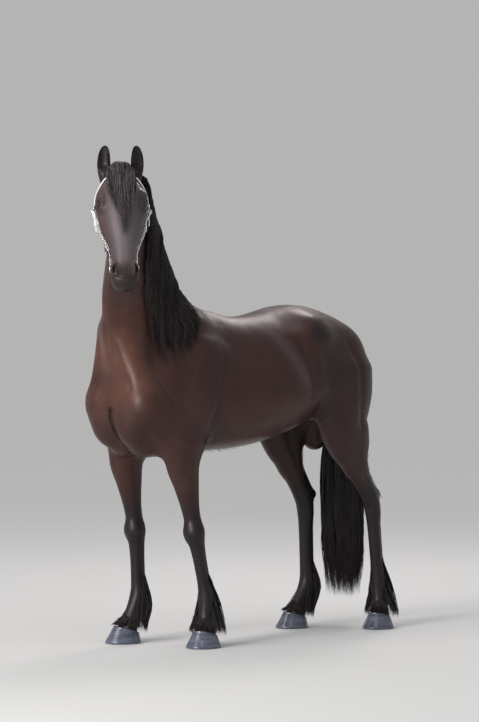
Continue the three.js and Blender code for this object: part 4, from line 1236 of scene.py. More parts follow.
@dataclass(frozen=True)
class CoatFinish(Finish):
    """Short glossy hair. The mesh carries its markings, with painted shade and painted sheen among them:
    black, ruddy and grey shares.
    """

    brown: Colour = (0.0275, 0.0115, 0.0098)
    # Ruddy is the coat's red-brown, and also part of the painted sheen on the loin.
    ruddy: Colour = (0.106, 0.044, 0.030)
    # Black is the coat's own black, and also the painted shade in the nostrils and round the eyes.
    black: Colour = (0.0085, 0.0076, 0.0094)
    # Grey is the grey-brown of the face's hair, and also the painted sheen on the face, nose, flank, back and
    # loin.
    grey: Colour = (0.105, 0.092, 0.102)

    def paint(self) -> bpy.types.Material:
        """Builds the coat: markings with their painted shade and painted sheen, mottling, and hair lines that
        follow its lie.
        """
        paint = Paint("coat")
        black, ruddy, grey = paint.parts("markings")
        at = paint.place()
        mottle = paint.noise(at, 5.0, 4)
        fine = paint.noise(at, 38.0, 3)
        base = paint.blend(mottle, shade(self.brown, 0.78), shade(self.brown, 1.22))
        base = paint.blend(ruddy * paint.rise(mottle, 0.2, 0.8), base, self.ruddy)
        # The grey share is partly grey hair and partly painted sheen.
        base = paint.blend(grey, base, self.grey)
        base = paint.blend(black, base, self.black)
        trunk, limb, face = paint.parts("lie")
        hair = (paint.streaks((110, 420, 420), (0, 0.62, 0)) * trunk
                + paint.streaks((420, 420, 70)) * limb
                + paint.streaks((420, 420, 110), (0.3, 0.3, 0)) * face)
        share = paint.rise(hair, 0.35, 0.75) * (0.5 - 0.5 * black)
        colour = paint.blend(share, base, shade(self.brown, 0.8), "ADD")
        normal = paint.bump(hair, 0.16, 0.0016, paint.bump(fine, 0.10, 0.004))
        return paint.finish({
            "Base Color": colour,
            "Roughness": 0.33 + 0.14 * fine,
            "Specular IOR Level": 0.34,
            "Specular Tint": (1.0, 0.86, 0.84),
            "Normal": normal,
        })


@dataclass(frozen=True)
class HairFinish(Finish):
    """Long hair. The mesh carries how far along a strand is, and a number of its own."""

    name: str = "long_hair"
    root: Colour = (0.0145, 0.0118, 0.0145)
    tip: Colour = (0.0300, 0.0195, 0.0180)
    streak: Colour = (0.0280, 0.0250, 0.0320)
    rough: float = 0.46

    def paint(self) -> bpy.types.Material:
        """Builds the hair: darker at the root, some strands lighter, thin lines along them."""
        paint = Paint(self.name)
        along = paint.value("along")
        own = paint.value("strand")
        base = paint.blend(paint.rise(own, 0.35, 1.0), self.root, self.streak)
        base = paint.blend(paint.rise(along, 0.45, 1.0) * (0.35 + 0.65 * own), base, self.tip)
        lines = paint.streaks((900, 900, 60))
        return paint.finish({
            "Base Color": base,
            "Roughness": self.rough + 0.12 * own,
            "Specular IOR Level": 0.24,
            "Normal": paint.bump(lines, 0.25, 0.001),
        })


@dataclass(frozen=True)
class HornFinish(Finish):
    """Oiled slate-grey horn with rings of growth."""

    dark: Colour = (0.037, 0.043, 0.068)
    light: Colour = (0.100, 0.112, 0.165)
    top: Colour = (0.02, 0.018, 0.018)

    def paint(self) -> bpy.types.Material:
        """Builds the horn: level rings, fine upright tubules and a dark top."""
        paint = Paint("hoof_horn")
        high = paint.value("along")
        rings = paint.streaks((5, 5, 70), detail=3)
        tubes = paint.streaks((190, 190, 9), detail=3)
        colour = paint.blend(paint.rise(rings, 0.3, 0.75), self.dark, self.light)
        colour = paint.blend(paint.rise(tubes, 0.45, 0.8) * 0.35, colour, self.light)
        colour = paint.blend(paint.rise(high, 0.86, 1.0), colour, self.top)
        return paint.finish({
            "Base Color": colour,
            "Roughness": 0.2 + 0.14 * tubes,
            "Coat Weight": 0.5,
            "Coat Roughness": 0.12,
            "Normal": paint.bump(rings, 0.05, 0.0010, paint.bump(tubes, 0.22, 0.0010)),
        })


@dataclass(frozen=True)
class EyeFinish(Finish):
    """A wet, dark brown eye with a level pupil."""

    iris: Colour = (0.020, 0.009, 0.005)
    pupil: Colour = (0.003, 0.003, 0.005)
    rim: Colour = (0.010, 0.006, 0.005)

    def paint(self) -> bpy.types.Material:
        """Builds the eye from the place on it: along the opening, up and out."""
        paint = Paint("eye")
        along, up, out = paint.parts("gaze")
        reach = (along * along + up * up) ** 0.5
        wide = (along * along * 0.45 + up * up * 2.6) ** 0.5
        fibres = paint.noise(paint.vector("gaze"), 16.0, 4)
        iris = paint.blend(fibres, shade(self.iris, 0.5), shade(self.iris, 1.7))
        colour = paint.blend(paint.rise(reach, 0.55, 0.68), iris, self.rim)
        colour = paint.blend(1 - paint.rise(wide, 0.26, 0.32), colour, self.pupil)
        return paint.finish({
            "Base Color": colour,
            "Roughness": 0.06 + 0.05 * fibres,
            "Coat Weight": 0.2,
            "Coat Roughness": 0.02,
            "Specular IOR Level": 0.3,
        })


@dataclass(frozen=True)
class StrapFinish(Finish):
    """White show leather, with faint grain and patches of dirt."""

    name: str = "white_strap"
    white: Colour = (0.78, 0.77, 0.75)
    worn: Colour = (0.50, 0.47, 0.43)
    rough: float = 0.38

    def paint(self) -> bpy.types.Material:
        """Builds the leather."""
        paint = Paint(self.name)
        at = paint.place()
        grain = paint.node("ShaderNodeTexVoronoi", {"feature": "DISTANCE_TO_EDGE"},
                           {"Vector": at, "Scale": 900.0})
        dirt = paint.noise(at, 60.0, 4)
        colour = paint.blend(paint.rise(dirt, 0.5, 0.8) * 0.5, self.white, self.worn)
        return paint.finish({
            "Base Color": colour,
            "Roughness": self.rough + 0.2 * dirt,
            "Coat Weight": 0.2,
            "Coat Roughness": 0.2,
            "Normal": paint.bump(grain, 0.2, 0.0004),
        })


@dataclass(frozen=True)
class MetalFinish(Finish):
    """Bright chrome with light scratches."""

    tint: Colour = (0.82, 0.83, 0.86)
    worn: Colour = (0.45, 0.45, 0.46)

    def paint(self) -> bpy.types.Material:
        """Builds the metal."""
        paint = Paint("chrome")
        dull = paint.noise(paint.place(), 120.0, 3)
        scratch = paint.streaks((1500, 120, 400))
        colour = paint.blend(paint.rise(dull, 0.45, 0.8) * 0.4, self.tint, self.worn)
        return paint.finish({
            "Base Color": colour,
            "Metallic": 1.0,
            "Roughness": 0.10 + 0.16 * dull,
            "Normal": paint.bump(scratch, 0.05, 0.0003),
        })


@dataclass(frozen=True)
class FloorFinish(Finish):
    """A pale, plain, matt studio floor."""

    pale: Colour

    def paint(self) -> bpy.types.Material:
        """Builds the floor with a trace of mottling."""
        paint = Paint("studio_floor")
        cloud = paint.noise(paint.place(), 1.4, 3)
        colour = paint.blend(cloud, shade(self.pale, 0.99), shade(self.pale, 1.01))
        return paint.finish({"Base Color": colour, "Roughness": 1.0, "Specular IOR Level": 0.0})


# The skin

@dataclass(frozen=True)
class Crease:
    """A groove in the skin along a line, or a ridge where its depth is below zero."""

    points: Array
    wide: float
    depth: float

    REACH = 3.0
    FADE = 0.18

    @classmethod
    def settled(cls, points: Sequence, wide: float, depth: float) -> "Crease":
        """A crease along points that are first laid on the flesh."""
        return cls(FLESH.settle(np.array(points, dtype=float)), wide, depth)

    def pressed(self, p: Array) -> Array:
        """The depth at points: depth * exp(-(distance to the line / width)^2), fading at its ends."""
        reach = self.REACH * self.wide
        lo, hi = self.points.min(0) - reach, self.points.max(0) + reach
        near = np.flatnonzero(within(p, lo, hi))
        result = np.zeros(len(p))
        if not len(near):
            return result
        q = p[near]
        best = np.full(len(q), np.inf)
        run = np.zeros(len(q))
        count = len(self.points) - 1
        for i in range(count):
            a, along = self.points[i], self.points[i + 1] - self.points[i]
            t = np.clip((q - a) @ along / (along @ along), 0, 1)
            d = np.linalg.norm(q - a - t[:, None] * along, axis=1)
            closer = d < best
            best = np.where(closer, d, best)
            run = np.where(closer, (i + t) / count, run)
        fade = step(run, 0.0, self.FADE) * step(1 - run, 0.0, self.FADE)
        result[near] = self.depth * np.exp(-((best / self.wide) ** 2)) * fade
        return result


Rows = Sequence[tuple[float, float, float]]


def on_head(rows: Rows, across: int = 1) -> Array:
    """Places on the head from rows of l, f and w, with w to the right for 1 and the left for -1."""
    return np.array([HEAD.point(l, f, across * w) for l, f, w in rows])


# Lines pressed into each side of the head, in rows of l, f and w, with their half width and their
# depth, which is below zero for a ridge.
FACE_LINES: dict[str, tuple[Rows, float, float]] = {
    "cheek ridge": ([(240, -40, 100), (300, -52, 84), (370, -58, 66), (420, -60, 55)], 9, -3.5),
    "hollow under it": ([(255, -78, 96), (320, -84, 78), (400, -88, 58)], 14, 5),
    "edge of the bridge": ([(300, 20, 56), (380, 8, 44), (470, -6, 36), (530, -20, 34)], 7, -2.2),
    "brow": ([(150, 6, 98), (180, 28, 92), (215, 32, 90), (250, 14, 96)], 8, -1.8),
    "fold over the eye": ([(176, -4, 108), (200, 20, 104), (228, 18, 102), (242, -2, 102)], 3.2, 2.4),
    "fold under the eye": ([(178, -14, 110), (206, -24, 112), (236, -18, 106)], 3.6, 1.8),
    "edge of the jaw": ([(100, -150, 60), (200, -205, 62), (300, -192, 50), (360, -170, 42)], 16, -4),
    "groove over the chin": ([(470, -120, 50), (520, -118, 54), (560, -112, 44)], 8, 3),
}

# The same for each side of the body, in rows of x, the place across and z.
BODY_LINES: dict[str, tuple[Rows, float, float]] = {
    "groove of the throat": ([(-10, 42, 1480), (40, 84, 1300), (40, 150, 1180)], 16, 7),
    "groove of the breast": ([(0, 40, 1230), (10, 100, 1130), (60, 190, 1080)], 12, 5),
    "groove over the arm": ([(120, 170, 1270), (170, 210, 1140), (250, 230, 1040)], 14, 7),
    "ridge of the shoulder": ([(480, 200, 1480), (380, 210, 1320), (300, 220, 1190)], 18, -5),
    "groove behind the shoulder":
        ([(560, 220, 1450), (500, 260, 1260), (450, 250, 1060), (430, 220, 960)], 26, 9),
    "groove of the flank":
        ([(965, 240, 1490), (1000, 250, 1360), (1035, 262, 1210), (1048, 262, 1110)], 17, 10),
    "groove of the thigh":
        ([(1300, 190, 1470), (1360, 230, 1280), (1370, 230, 1100), (1390, 200, 960)], 20, 7),
    "ridge before the thigh": ([(1045, 230, 1470), (1095, 260, 1310), (1120, 260, 1150)], 28, -5),
}


def split(points: Array, quads: Array, tris: Array, chosen: Array) -> tuple[Array, Array, Array]:
    """Splits the chosen quads in four, and fans the faces beside them out from their middles.

    Args:
        points: the mesh's points.
        quads: its four-sided faces.
        tris: its triangles.
        chosen: which quads are split.

    Returns:
        The new points, quads and triangles.
    """
    def codes(faces: Array) -> Array:
        """A number for each edge of the faces, alike from both sides."""
        ends = np.stack([faces, np.roll(faces, -1, axis=1)])
        return ends.min(axis=0) * len(points) + ends.max(axis=0)

    cut = np.unique(codes(quads[chosen]))
    halves = (points[cut // len(points)] + points[cut % len(points)]) / 2
    picked = quads[chosen]
    first = len(points) + len(cut)
    half = len(points) + np.searchsorted(cut, codes(picked))
    middle = np.broadcast_to((first + np.arange(len(picked)))[:, None], picked.shape)
    fours = np.stack([picked, half, middle, np.roll(half, 1, axis=1)], axis=-1).reshape(-1, 4)
    parts = [points, halves, points[picked].mean(axis=1)]
    count = first + len(picked)
    whole = [quads[~chosen], tris]
    fans = []
    for n, faces in enumerate(whole):
        hit = np.isin(codes(faces), cut)
        beside = faces[hit.any(axis=1)]
        whole[n] = faces[~hit.any(axis=1)]
        hit = hit[hit.any(axis=1)]
        half = len(points) + np.minimum(np.searchsorted(cut, codes(beside)), len(cut) - 1)
        middle = np.broadcast_to((count + np.arange(len(beside)))[:, None], beside.shape)
        after = np.roll(beside, -1, axis=1)
        fans += [np.stack([beside, np.where(hit, half, after), middle], axis=-1).reshape(-1, 3),
                 np.stack([half, after, middle], axis=-1)[hit]]
        parts.append(points[beside].mean(axis=1))
        count += len(beside)
    return np.concatenate(parts), np.concatenate([whole[0], fours]), np.concatenate([whole[1], *fans])


@dataclass
class Skin:
    """The whole skin as one mesh, inside the solids by the depth of the coat."""

    cell: float = 10.8
    coarse: int = 4
    coat: float = 2.0
    low: Array = field(default_factory=lambda: vec(-480, -640, 40))
    high: Array = field(default_factory=lambda: vec(1690, 340, 2330))

    def build(self) -> Surface:
        """Meshes the skin, refines the head, presses its features in and paints its markings, with painted
        shade and painted sheen among them.
        """
        points, quads = self.net()
        points = self.onto(points, 2)
        tris = np.empty((0, 3), int)
        for near in (self.near_head, self.near_features, self.near_openings):
            old = len(points)
            points, quads, tris = split(points, quads, tris, near(points[quads].mean(axis=1)))
            points = np.concatenate([points[:old], self.onto(points[old:], 2)])
        values = {"markings": markings(points), "lie": lie(points)}
        return Surface(self.pressed(points), quads, tris, values)

    def net(self) -> tuple[Array, Array]:
        """A surface net: a point in each cell that the surface crosses, a quad across each crossed edge.

        Returns:
            The points, (n, 3), and the quads, (m, 4).
        """
        value = self.distances()
        inside = value < 0
        sums = np.zeros((*value.shape, 4), np.float32)
        edges = []
        ways = np.eye(3, dtype=int)
        for axis, hop in enumerate(ways):
            near = [slice(None)] * 3
            far = [slice(None)] * 3
            near[axis], far[axis] = slice(None, -1), slice(1, None)
            crossed = np.argwhere(inside[tuple(near)] != inside[tuple(far)])
            a, b = value[tuple(crossed.T)], value[tuple((crossed + hop).T)]
            at = crossed + hop * (a / (a - b))[:, None]
            u, v = ways[(axis + 1) % 3], ways[(axis + 2) % 3]
            ring = [crossed - u - v, crossed - v, crossed, crossed - u]
            for cell in ring:
                for k in range(3):
                    np.add.at(sums[..., k], tuple(cell.T), at[:, k])
                np.add.at(sums[..., 3], tuple(cell.T), 1)
            edges.append((ring, a < 0))
        used = sums[..., 3] > 0
        number = np.full(value.shape, -1)
        number[used] = np.arange(used.sum())
        points = self.low + self.cell * (sums[used][:, :3] / sums[used][:, 3:])
        quads = []
        for ring, outward in edges:
            q = np.stack([number[tuple(cell.T)] for cell in ring], axis=1)
            quads.append(np.where(outward[:, None], q, q[:, ::-1]))
        return points, np.concatenate(quads)

    def distances(self) -> Array:
        """How far the grid's points are outside the skin, exact only where it is near."""
        count = np.ceil((self.high - self.low) / self.cell / self.coarse).astype(int) * self.coarse + 1
        axes = [self.low[k] + self.cell * np.arange(count[k]) for k in range(3)]
        big = [axis[:: self.coarse] for axis in axes]
        rough = np.stack(np.meshgrid(*big, indexing="ij"), axis=-1)
        rough_d = FLESH.distance(rough.reshape(-1, 3)).reshape(rough.shape[:3])
        nearest = [np.minimum((np.arange(n) + self.coarse // 2) // self.coarse, len(b) - 1)
                   for n, b in zip(count, big)]
        value = rough_d[np.ix_(*nearest)].astype(np.float32)
        close = np.abs(value) < self.cell * (self.coarse * 0.9 + 2)
        index = np.argwhere(close)
        value[close] = FLESH.distance(self.low + self.cell * index) + self.coat
        return value

    def onto(self, points: Array, rounds: int) -> Array:
        """The points moved onto the skin's own distance from the flesh."""
        return FLESH.settle(points, -self.coat, rounds)

    @staticmethod
    def near_head(p: Array) -> Array:
        """Which points are on the head."""
        return within(HEAD.local(p), (20, -235, -150), (660, 110, 150)) & (p[:, 2] > 1600)

    @staticmethod
    def near_features(p: Array) -> Array:
        """Which points are near the eyes, nostrils or mouth."""
        muzzle = within(HEAD.local(p), (505, -165, -110), (660, 30, 110))
        eyes = [np.linalg.norm(p - eye.at, axis=1) < 54 for eye in EYES]
        return np.any([muzzle, *eyes], axis=0)

    @staticmethod
    def near_openings(p: Array) -> Array:
        """Which points are near an eye's opening, a nostril's or the line of the mouth."""
        chosen = np.zeros(len(p), bool)
        for eye in EYES:
            x, y, z = eye.local(p).T
            chosen |= ((x / 27) ** 2 + (y / 21) ** 2 < 1) & (z > 0) & (z < 60)
        for nostril in NOSTRILS:
            x, y, z = nostril.local(p).T
            chosen |= ((x / 17) ** 2 + (y / 31) ** 2 < 1) & (np.abs(z) < 30)
        return chosen | MOUTH.near(p, 9)

    def pressed(self, points: Array) -> Array:
        """The points pressed in by the creases and openings, along the way out of the flesh."""
        depth = np.zeros(len(points))
        for dent in (*self.creases(), *EYES, *NOSTRILS):
            depth += dent.pressed(points)
        return points - FLESH.out(points) * depth[:, None]

    @staticmethod
    def creases() -> list[Crease]:
        """The lines and ridges of the face and body."""
        breast = [[-30, 0, 1330], [-30, 0, 1200], [-22, 0, 1080], [20, 0, 960]]
        found = [Crease(MOUTH.line(), 2.6, 5.5), Crease(MOUTH.line(12), 11, -1.0),
                 Crease(np.array(breast, dtype=float), 22, 8)]
        for side in SIDES:
            s = side.value
            found += [Crease.settled(on_head(rows, s), wide, depth)
                      for rows, wide, depth in FACE_LINES.values()]
            found += [Crease.settled([(x, s * y, z) for x, y, z in rows], wide, depth)
                      for rows, wide, depth in BODY_LINES.values()]
            neck = [(140, -60 * s - 20, 1900), (180, 90 * s - 20, 1760), (190, 110 * s, 1600)]
            found.append(Crease.settled(neck, 16, 3))
        for leg in LEGS:
            found += Skin.leg_creases(leg)
        return found

    @staticmethod
    def leg_creases(leg: Leg) -> list[Crease]:
        """The grooves between bone and tendon, and the forms of the joints."""
        made = []
        high, low = mix(leg.middle, leg.fetlock, 0.2), mix(leg.middle, leg.fetlock, 0.86)
        for face in (-1, 1):
            side = leg.across * face * 60
            tendon = [mix(high, low, t) - leg.forward * 10 + side for t in np.linspace(0, 1, 5)]
            made.append(Crease.settled(tendon, 8, 4.5))
            joint = [leg.middle + side + leg.forward * 20 * math.cos(a) + UP * 34 * math.sin(a)
                     for a in np.linspace(0.4, 5.0, 8)]
            made.append(Crease.settled(joint, 8, 2.2))
        front = [leg.middle + leg.forward * 70 + leg.across * t - UP * 38 for t in (-36, -12, 12, 36)]
        made.append(Crease.settled(front, 9, 3))
        upper = leg.joints["elbow"] if leg.fore else leg.joints["stifle"]
        outside = vec(-16, leg.side.value * 80, 0)
        muscle = [mix(upper, leg.middle, t) + outside for t in (0.1, 0.35, 0.6, 0.85)]
        made.append(Crease.settled(muscle, 11, 5))
        return made


def markings(p: Array) -> Array:
    """How black, ruddy and grey the coat is at points. Besides the coat's own colours, these hold painted
    shade in the nostrils and round the eyes, and painted sheen on the face, the nose, the left flank, the
    back and the loin.

    Args:
        p: the points, (n, 3).

    Returns:
        The three shares, (n, 3).
    """
    x, y, z = p.T
    l, f, w = HEAD.local(p).T
    left = y < 0

    head = step(l, 10, 90) * step(z, 1560, 1700) * (x < 200)
    muzzle = head * step(l, 520, 590)
    knee = np.where(x < 800, 700, 760)
    legs = step(z, knee + 120, knee - 130)
    hip = spot((x, 1115, 64), (z, 1456, 50), 1.5) * left
    haunch = step(x, 980, 1160) * step(z, 1500, 1280)
    flank = step(x, 250, 420) * step(x, 700, 480) * step(z, 1450, 1250) * left
    dock = spot((x, 1470, 60), (z, 1440, 70))
    crest = step(z, 1500, 1700) * step(x, 90, 260) * (1 - head)
    # The dark skin about each nostril, with painted shade in its hollow.
    nostrils = [nostril.dark(p) for nostril in NOSTRILS]
    # The dark skin of the lids, with painted shade of the sockets about the eyes.
    lids_and_socket_shade = [0.9 * hump(np.linalg.norm(p - eye.at, axis=1), 24, 26) * head for eye in EYES]
    black = np.max([0.97 * legs, 0.6 * muzzle, 0.97 * hip, 0.48 * haunch, 0.3 * flank, 0.5 * dock,
                    0.75 * crest, *nostrils, *lids_and_socket_shade], axis=0)

    front = step(x, 230, -30) * (1 - head)
    breast = 0.9 * front * step(z, 950, 1250) * (1 - black)
    belly = 0.3 * step(z, 1500, 1000) * (1 - legs) * (1 - front)
    cheek = 0.42 * head * (1 - muzzle) * step(l, 480, 250)
    # A painted highlight: a warm sheen on the loin, carried in the ruddy and grey shares.
    loin_sheen = spot((x, 960, 120), (y, -120, 110)) * step(z, 1430, 1500)
    ruddy = np.max([breast + belly, cheek, loin_sheen], axis=0)

    # The face's grey is partly its grey-brown hair and partly painted sheen, strongest on the front of the
    # face and weaker on the temples.
    temple = step(np.abs(w), 30, 105)
    face = head * (0.74 * step(f, -60, 30) * (1 - muzzle) + 0.18) * (1 - 0.62 * temple) * (1 - 0.4 * muzzle)
    # bridge: a painted sheen down the bridge of the nose, in the grey share.
    bridge = head * step(l, 300, 450) * step(l, 575, 515) * step(f, -50, 10)
    # A painted highlight along the ridge of the left flank, in the grey share.
    flank_sheen = hump(x - 829 - 0.6 * (1500 - z), 0, 46) * step(z, 1130, 1250) * step(z, 1560, 1460) * left
    # back: a painted reflection of the sky along the top of the back, in the grey share.
    back = hump(x, 900, 190) * step(z, 1530, 1580) * step(y, -90, -10)
    grey = np.max([face, 0.85 * bridge, 0.3 * flank_sheen, 0.7 * back, 0.6 * loin_sheen], axis=0)
    return np.stack([black, ruddy, grey], axis=1).clip(0, 1)


def lie(p: Array) -> Array:
    """Which way the coat lies at points, as the shares of trunk, limb and face."""
    l = HEAD.local(p)[:, 0]
    face = step(l, 20, 120) * step(p[:, 2], 1560, 1700) * (p[:, 0] < 200)
    limb = step(p[:, 2], 1000, 860) * (1 - face)
    return np.stack([1 - face - limb, limb, face], axis=1)


# Hair

@dataclass
class Strands:
    """Many tapered strands: their middle lines and the way out of the coat along them."""

    lines: Array
    outs: Array
    wide: Array
    thick: Array
    roots: Array
    start: float = 0.35
    power: float = 2.4

    PATCH = 0.003

    def surface(self, rng: np.random.Generator) -> Surface:
        """Each strand is a three-cornered section carried along its line and drawn to a point.

        The width is wide * min(start + 4t, 1) * (1 - t^power) at the share t of its length.

        Args:
            rng: the source of each strand's own number.

        Returns:
            The strands as one surface, with the values along and strand, and the map for baking.
        """
        count, rows = self.lines.shape[:2]
        t = np.linspace(0, 1, rows)
        along = tangents(self.lines)
        side = unit(np.cross(along, self.outs))
        out = np.cross(side, along)
        full = np.minimum(self.start + 4 * t, 1) * (1 - t**self.power)
        w = (side * (self.wide[:, None] * full / 2)[..., None])[:, :-1]
        h = (out * (self.thick[:, None] * full)[..., None])[:, :-1]
        body = self.lines[:, :-1]
        rings = np.stack([body + w - h * 0.3, body - w - h * 0.3, body + h * 0.7], axis=2)
        points = np.concatenate([rings.reshape(count, -1, 3), self.lines[:, -1:]], axis=1)
        size = points.shape[1]
        quads = grid_quads(rows - 1, 3)
        a, b, c, tip = size - 4 + np.arange(4)
        tris = np.array([[0, 2, 1], [a, b, tip], [b, c, tip], [c, a, tip]])
        offset = (np.arange(count) * size)[:, None, None]
        share = np.append(np.repeat(t[:-1], 3), 1.0)
        corner = np.append(np.tile([0.0, 1.0, 0.5], rows - 1), 0.5)
        patch = np.stack([corner, share], axis=1) * self.PATCH
        return Surface(
            points.reshape(-1, 3),
            (quads[None] + offset).reshape(-1, 4),
            (tris[None] + offset).reshape(-1, 3),
            {"along": np.tile(share, count), "strand": np.repeat(rng.random(count), size)},
            (self.roots[:, None] * 0.99 + self.PATCH + patch[None]).reshape(-1, 2),
        )


@dataclass(frozen=True)
class LockStyle:
    """What the strands of a kind of lock are like.

    A lock spreads to half its width and its depth, and gathers by a share of that towards its tip. The
    strands wave as high as wave, once in each pitch of their length. A share of them stray, and they
    end before the lock's tip by up to the share shorter. They clear the flesh by the height above, but
    for roots that are sunk.
    """

    strands: int
    spread: tuple[float, float]
    wide: float
    thick: float
    gather: float
    wave: float
    pitch: float
    shorter: float
    stray: float
    above: float = 1.5
    sunk: float = 0.0


@dataclass
class Locks:
    """Locks of hair, each a line with strands about it that draw together towards its tip."""

    lines: Array
    outs: Array
    roots: Array
    style: LockStyle

    def combed(self, rng: np.random.Generator) -> Strands:
        """The strands of all the locks.

        A strand is at lock + side * (a * g(t) + across) + out * (b * g(t) + raised), where (a, b) is its
        place in the lock's oval section, g falls from 1 at the root to 1 - gather at the tip, and across
        and raised are its waves.

        Args:
            rng: the source of their differences.

        Returns:
            The strands.
        """
        style = self.style
        locks, rows = self.lines.shape[:2]
        count = locks * style.strands
        which = np.repeat(np.arange(locks), style.strands)
        lines, outs = self.lines[which], self.outs[which]
        cut = 1 - style.shorter * rng.random(count) ** 1.5
        t = np.linspace(0, 1, rows)[None]
        at = cut[:, None] * t * (rows - 1)
        low = np.minimum(at.astype(int), rows - 2)
        part = (at - low)[..., None]
        pick = np.arange(count)[:, None]
        lines = mix(lines[pick, low], lines[pick, low + 1], part)
        outs = unit(mix(outs[pick, low], outs[pick, low + 1], part))
        side = unit(np.cross(tangents(lines), outs))
        angle = rng.random(count) * 2 * np.pi
        reach = np.sqrt(rng.random(count))
        a = reach * np.cos(angle) * style.spread[0]
        b = np.abs(reach * np.sin(angle)) * style.spread[1]
        loose = np.where(rng.random(count) < style.stray, 1.6, 1.0)[:, None]
        g = 1 - style.gather * t**0.8 / loose
        length = np.linalg.norm(np.diff(lines, axis=1), axis=2).sum(1)
        swing = t * length[:, None] / style.pitch * 2 * np.pi
        own = rng.random((2, count, 1)) * 2 * np.pi
        shared = rng.random(locks)[which][:, None] * 2 * np.pi
        size = style.wave * t * (0.6 + 0.8 * rng.random(locks))[which][:, None]
        across = size * (np.sin(swing + shared) + 0.35 * np.sin(1.9 * swing + own[0])) * loose
        raised = size * 0.35 * np.sin(1.3 * swing + own[1])
        lines = (lines + side * (a[:, None] * g + across)[..., None]
                 + outs * (b[:, None] * g + raised)[..., None])
        vary = 0.7 + 0.6 * rng.random(count)
        roots = self.roots[which] + (rng.random((count, 2)) - 0.5) * 0.02
        return Strands(lines, outs, style.wide * vary, style.thick * vary, np.clip(roots, 0, 0.99))

    def surface(self, rng: np.random.Generator) -> Surface:
        """The strands' surface, lifted clear of the flesh, or as far under it as its roots are sunk."""
        strands = self.combed(rng)
        count, rows = strands.lines.shape[:2]
        free = strands.lines[:, 1:].reshape(-1, 3)
        share = np.tile(np.linspace(0, 1, rows)[1:], count)
        above = self.style.above - self.style.sunk * (1 - 4 * share).clip(0)
        lack = above - FLESH.distance(free)
        low = np.flatnonzero(lack > 0)
        free[low] += FLESH.out(free[low]) * lack[low, None]
        strands.lines = np.concatenate([strands.lines[:, :1], free.reshape(count, -1, 3)], axis=1)
        return strands.surface(rng)


@dataclass
class Mane:
    """The mane, which lies on the left of the neck from the withers to the poll."""

    locks: int = 84
    hem: float = 1290.0
    lengths: tuple[float, float] = (150.0, 700.0)
    first: float = 0.33
    lean: float = 0.17
    style: LockStyle = LockStyle(strands=33, spread=(21, 7), wide=5.0, thick=2.0, gather=0.3, wave=10,
                                 pitch=210, shorter=0.46, stray=0.25)

    def roots(self, share: Array) -> tuple[Array, Array]:
        """Where hair grows on the crest, and the way in which it leaves.

        Args:
            share: places along the mane, from 0 at the withers to 1 at the poll.

        Returns:
            The roots and the directions.
        """
        withers, poll = [[430, 0, 1400]], [[-20, -123, 2165]]
        line = curve(np.concatenate([withers, CREST[1:], poll]), 200)
        run = np.linspace(0, 1, len(line))
        t = self.first + (1 - self.first) * share
        along = unit(along_rows(t, run, tangents(line)))
        left = unit(mix(-RIGHT, -HEAD.w, (t * 0.8)[:, None]))
        rise = unit(np.cross(left, along))
        rise = np.where(rise[:, 2:] > 0, rise, -rise)
        return FLESH.surface(along_rows(t, run, line) + rise * 60, rise), left

    def layer(self, rng: np.random.Generator, above: float, long: float, side: float) -> Surface:
        """One layer of locks.

        Args:
            rng: the source of their differences.
            above: their height over the neck.
            long: their length against the full one.
            side: how far they leave to the left, 1, or up.

        Returns:
            The layer's surface.
        """
        n = self.locks
        share = spaced(rng, n)
        root, left = self.roots(share)
        vary = 0.84 + 0.2 * rng.random(n) + 0.22 * (rng.random(n) > 0.82)
        length = np.clip(root[:, 2] - self.hem, *self.lengths) * long * vary
        lean = self.lean * share - 0.30 * (1 - share) ** 1.5 * (0.7 + 0.6 * rng.random(n))
        height = above * (0.6 + 0.8 * rng.random(n)) * (0.35 + 0.65 * step(share, 0, 0.25))
        path = FLESH.fall(root - left * 3, left * side + UP * 0.35, length, steps=12, weight=0.36,
                          above=height, cling=0.6, drift=BACK * lean[:, None])
        roots = np.stack([share, 0.3 + 0.4 * rng.random(n)], axis=1)
        return Locks(path, FLESH.out(path), roots, self.style).surface(rng)

    def build(self, finish: Finish) -> None:
        """Builds the mane's two layers."""
        rng = np.random.default_rng(SEED)
        self.layer(rng, above=7, long=0.94, side=1.0).piece("mane_under", "hair", finish, "mane")
        self.layer(rng, above=17, long=1.04, side=0.8).piece("mane_over", "hair", finish, "mane")


@dataclass
class Forelock:
    """The forelock: it rises over the poll between the ears and falls down the middle of the face."""

    locks: int = 46
    length: float = 470.0
    wide: float = 60.0
    style: LockStyle = LockStyle(strands=30, spread=(17, 6), wide=3.2, thick=1.4, gather=0.35, wave=5,
                                 pitch=260, shorter=0.5, stray=0.25)

    def build(self, finish: Finish) -> None:
        """Builds the forelock."""
        rng = np.random.default_rng(SEED + 1)
        n = self.locks
        w = self.wide * (2 * spaced(rng, n) - 1)
        root = FLESH.settle(HEAD.point(-40 + 36 * rng.random(n), 12, w * 0.8), 1)
        length = self.length * (1 - (np.abs(w) / 95) ** 1.5) * (0.76 + 0.34 * rng.random(n))
        way = HEAD.l + HEAD.w * (w * 0.004)[:, None] + HEAD.f * 1.3
        above = 8 + 14 * rng.random(n) * (1 - np.abs(w) / 90)
        path = FLESH.fall(root, way, length, steps=14, weight=0.10, above=above, cling=0.30,
                          drift=-HEAD.w * (w * 0.002)[:, None])
        roots = np.stack([0.5 + w / 120, 0.4 + 0.2 * rng.random(n)], axis=1)
        surface = Locks(path, FLESH.out(path), roots, self.style).surface(rng)
        surface.piece("forelock_hair", "hair", finish, "forelock")


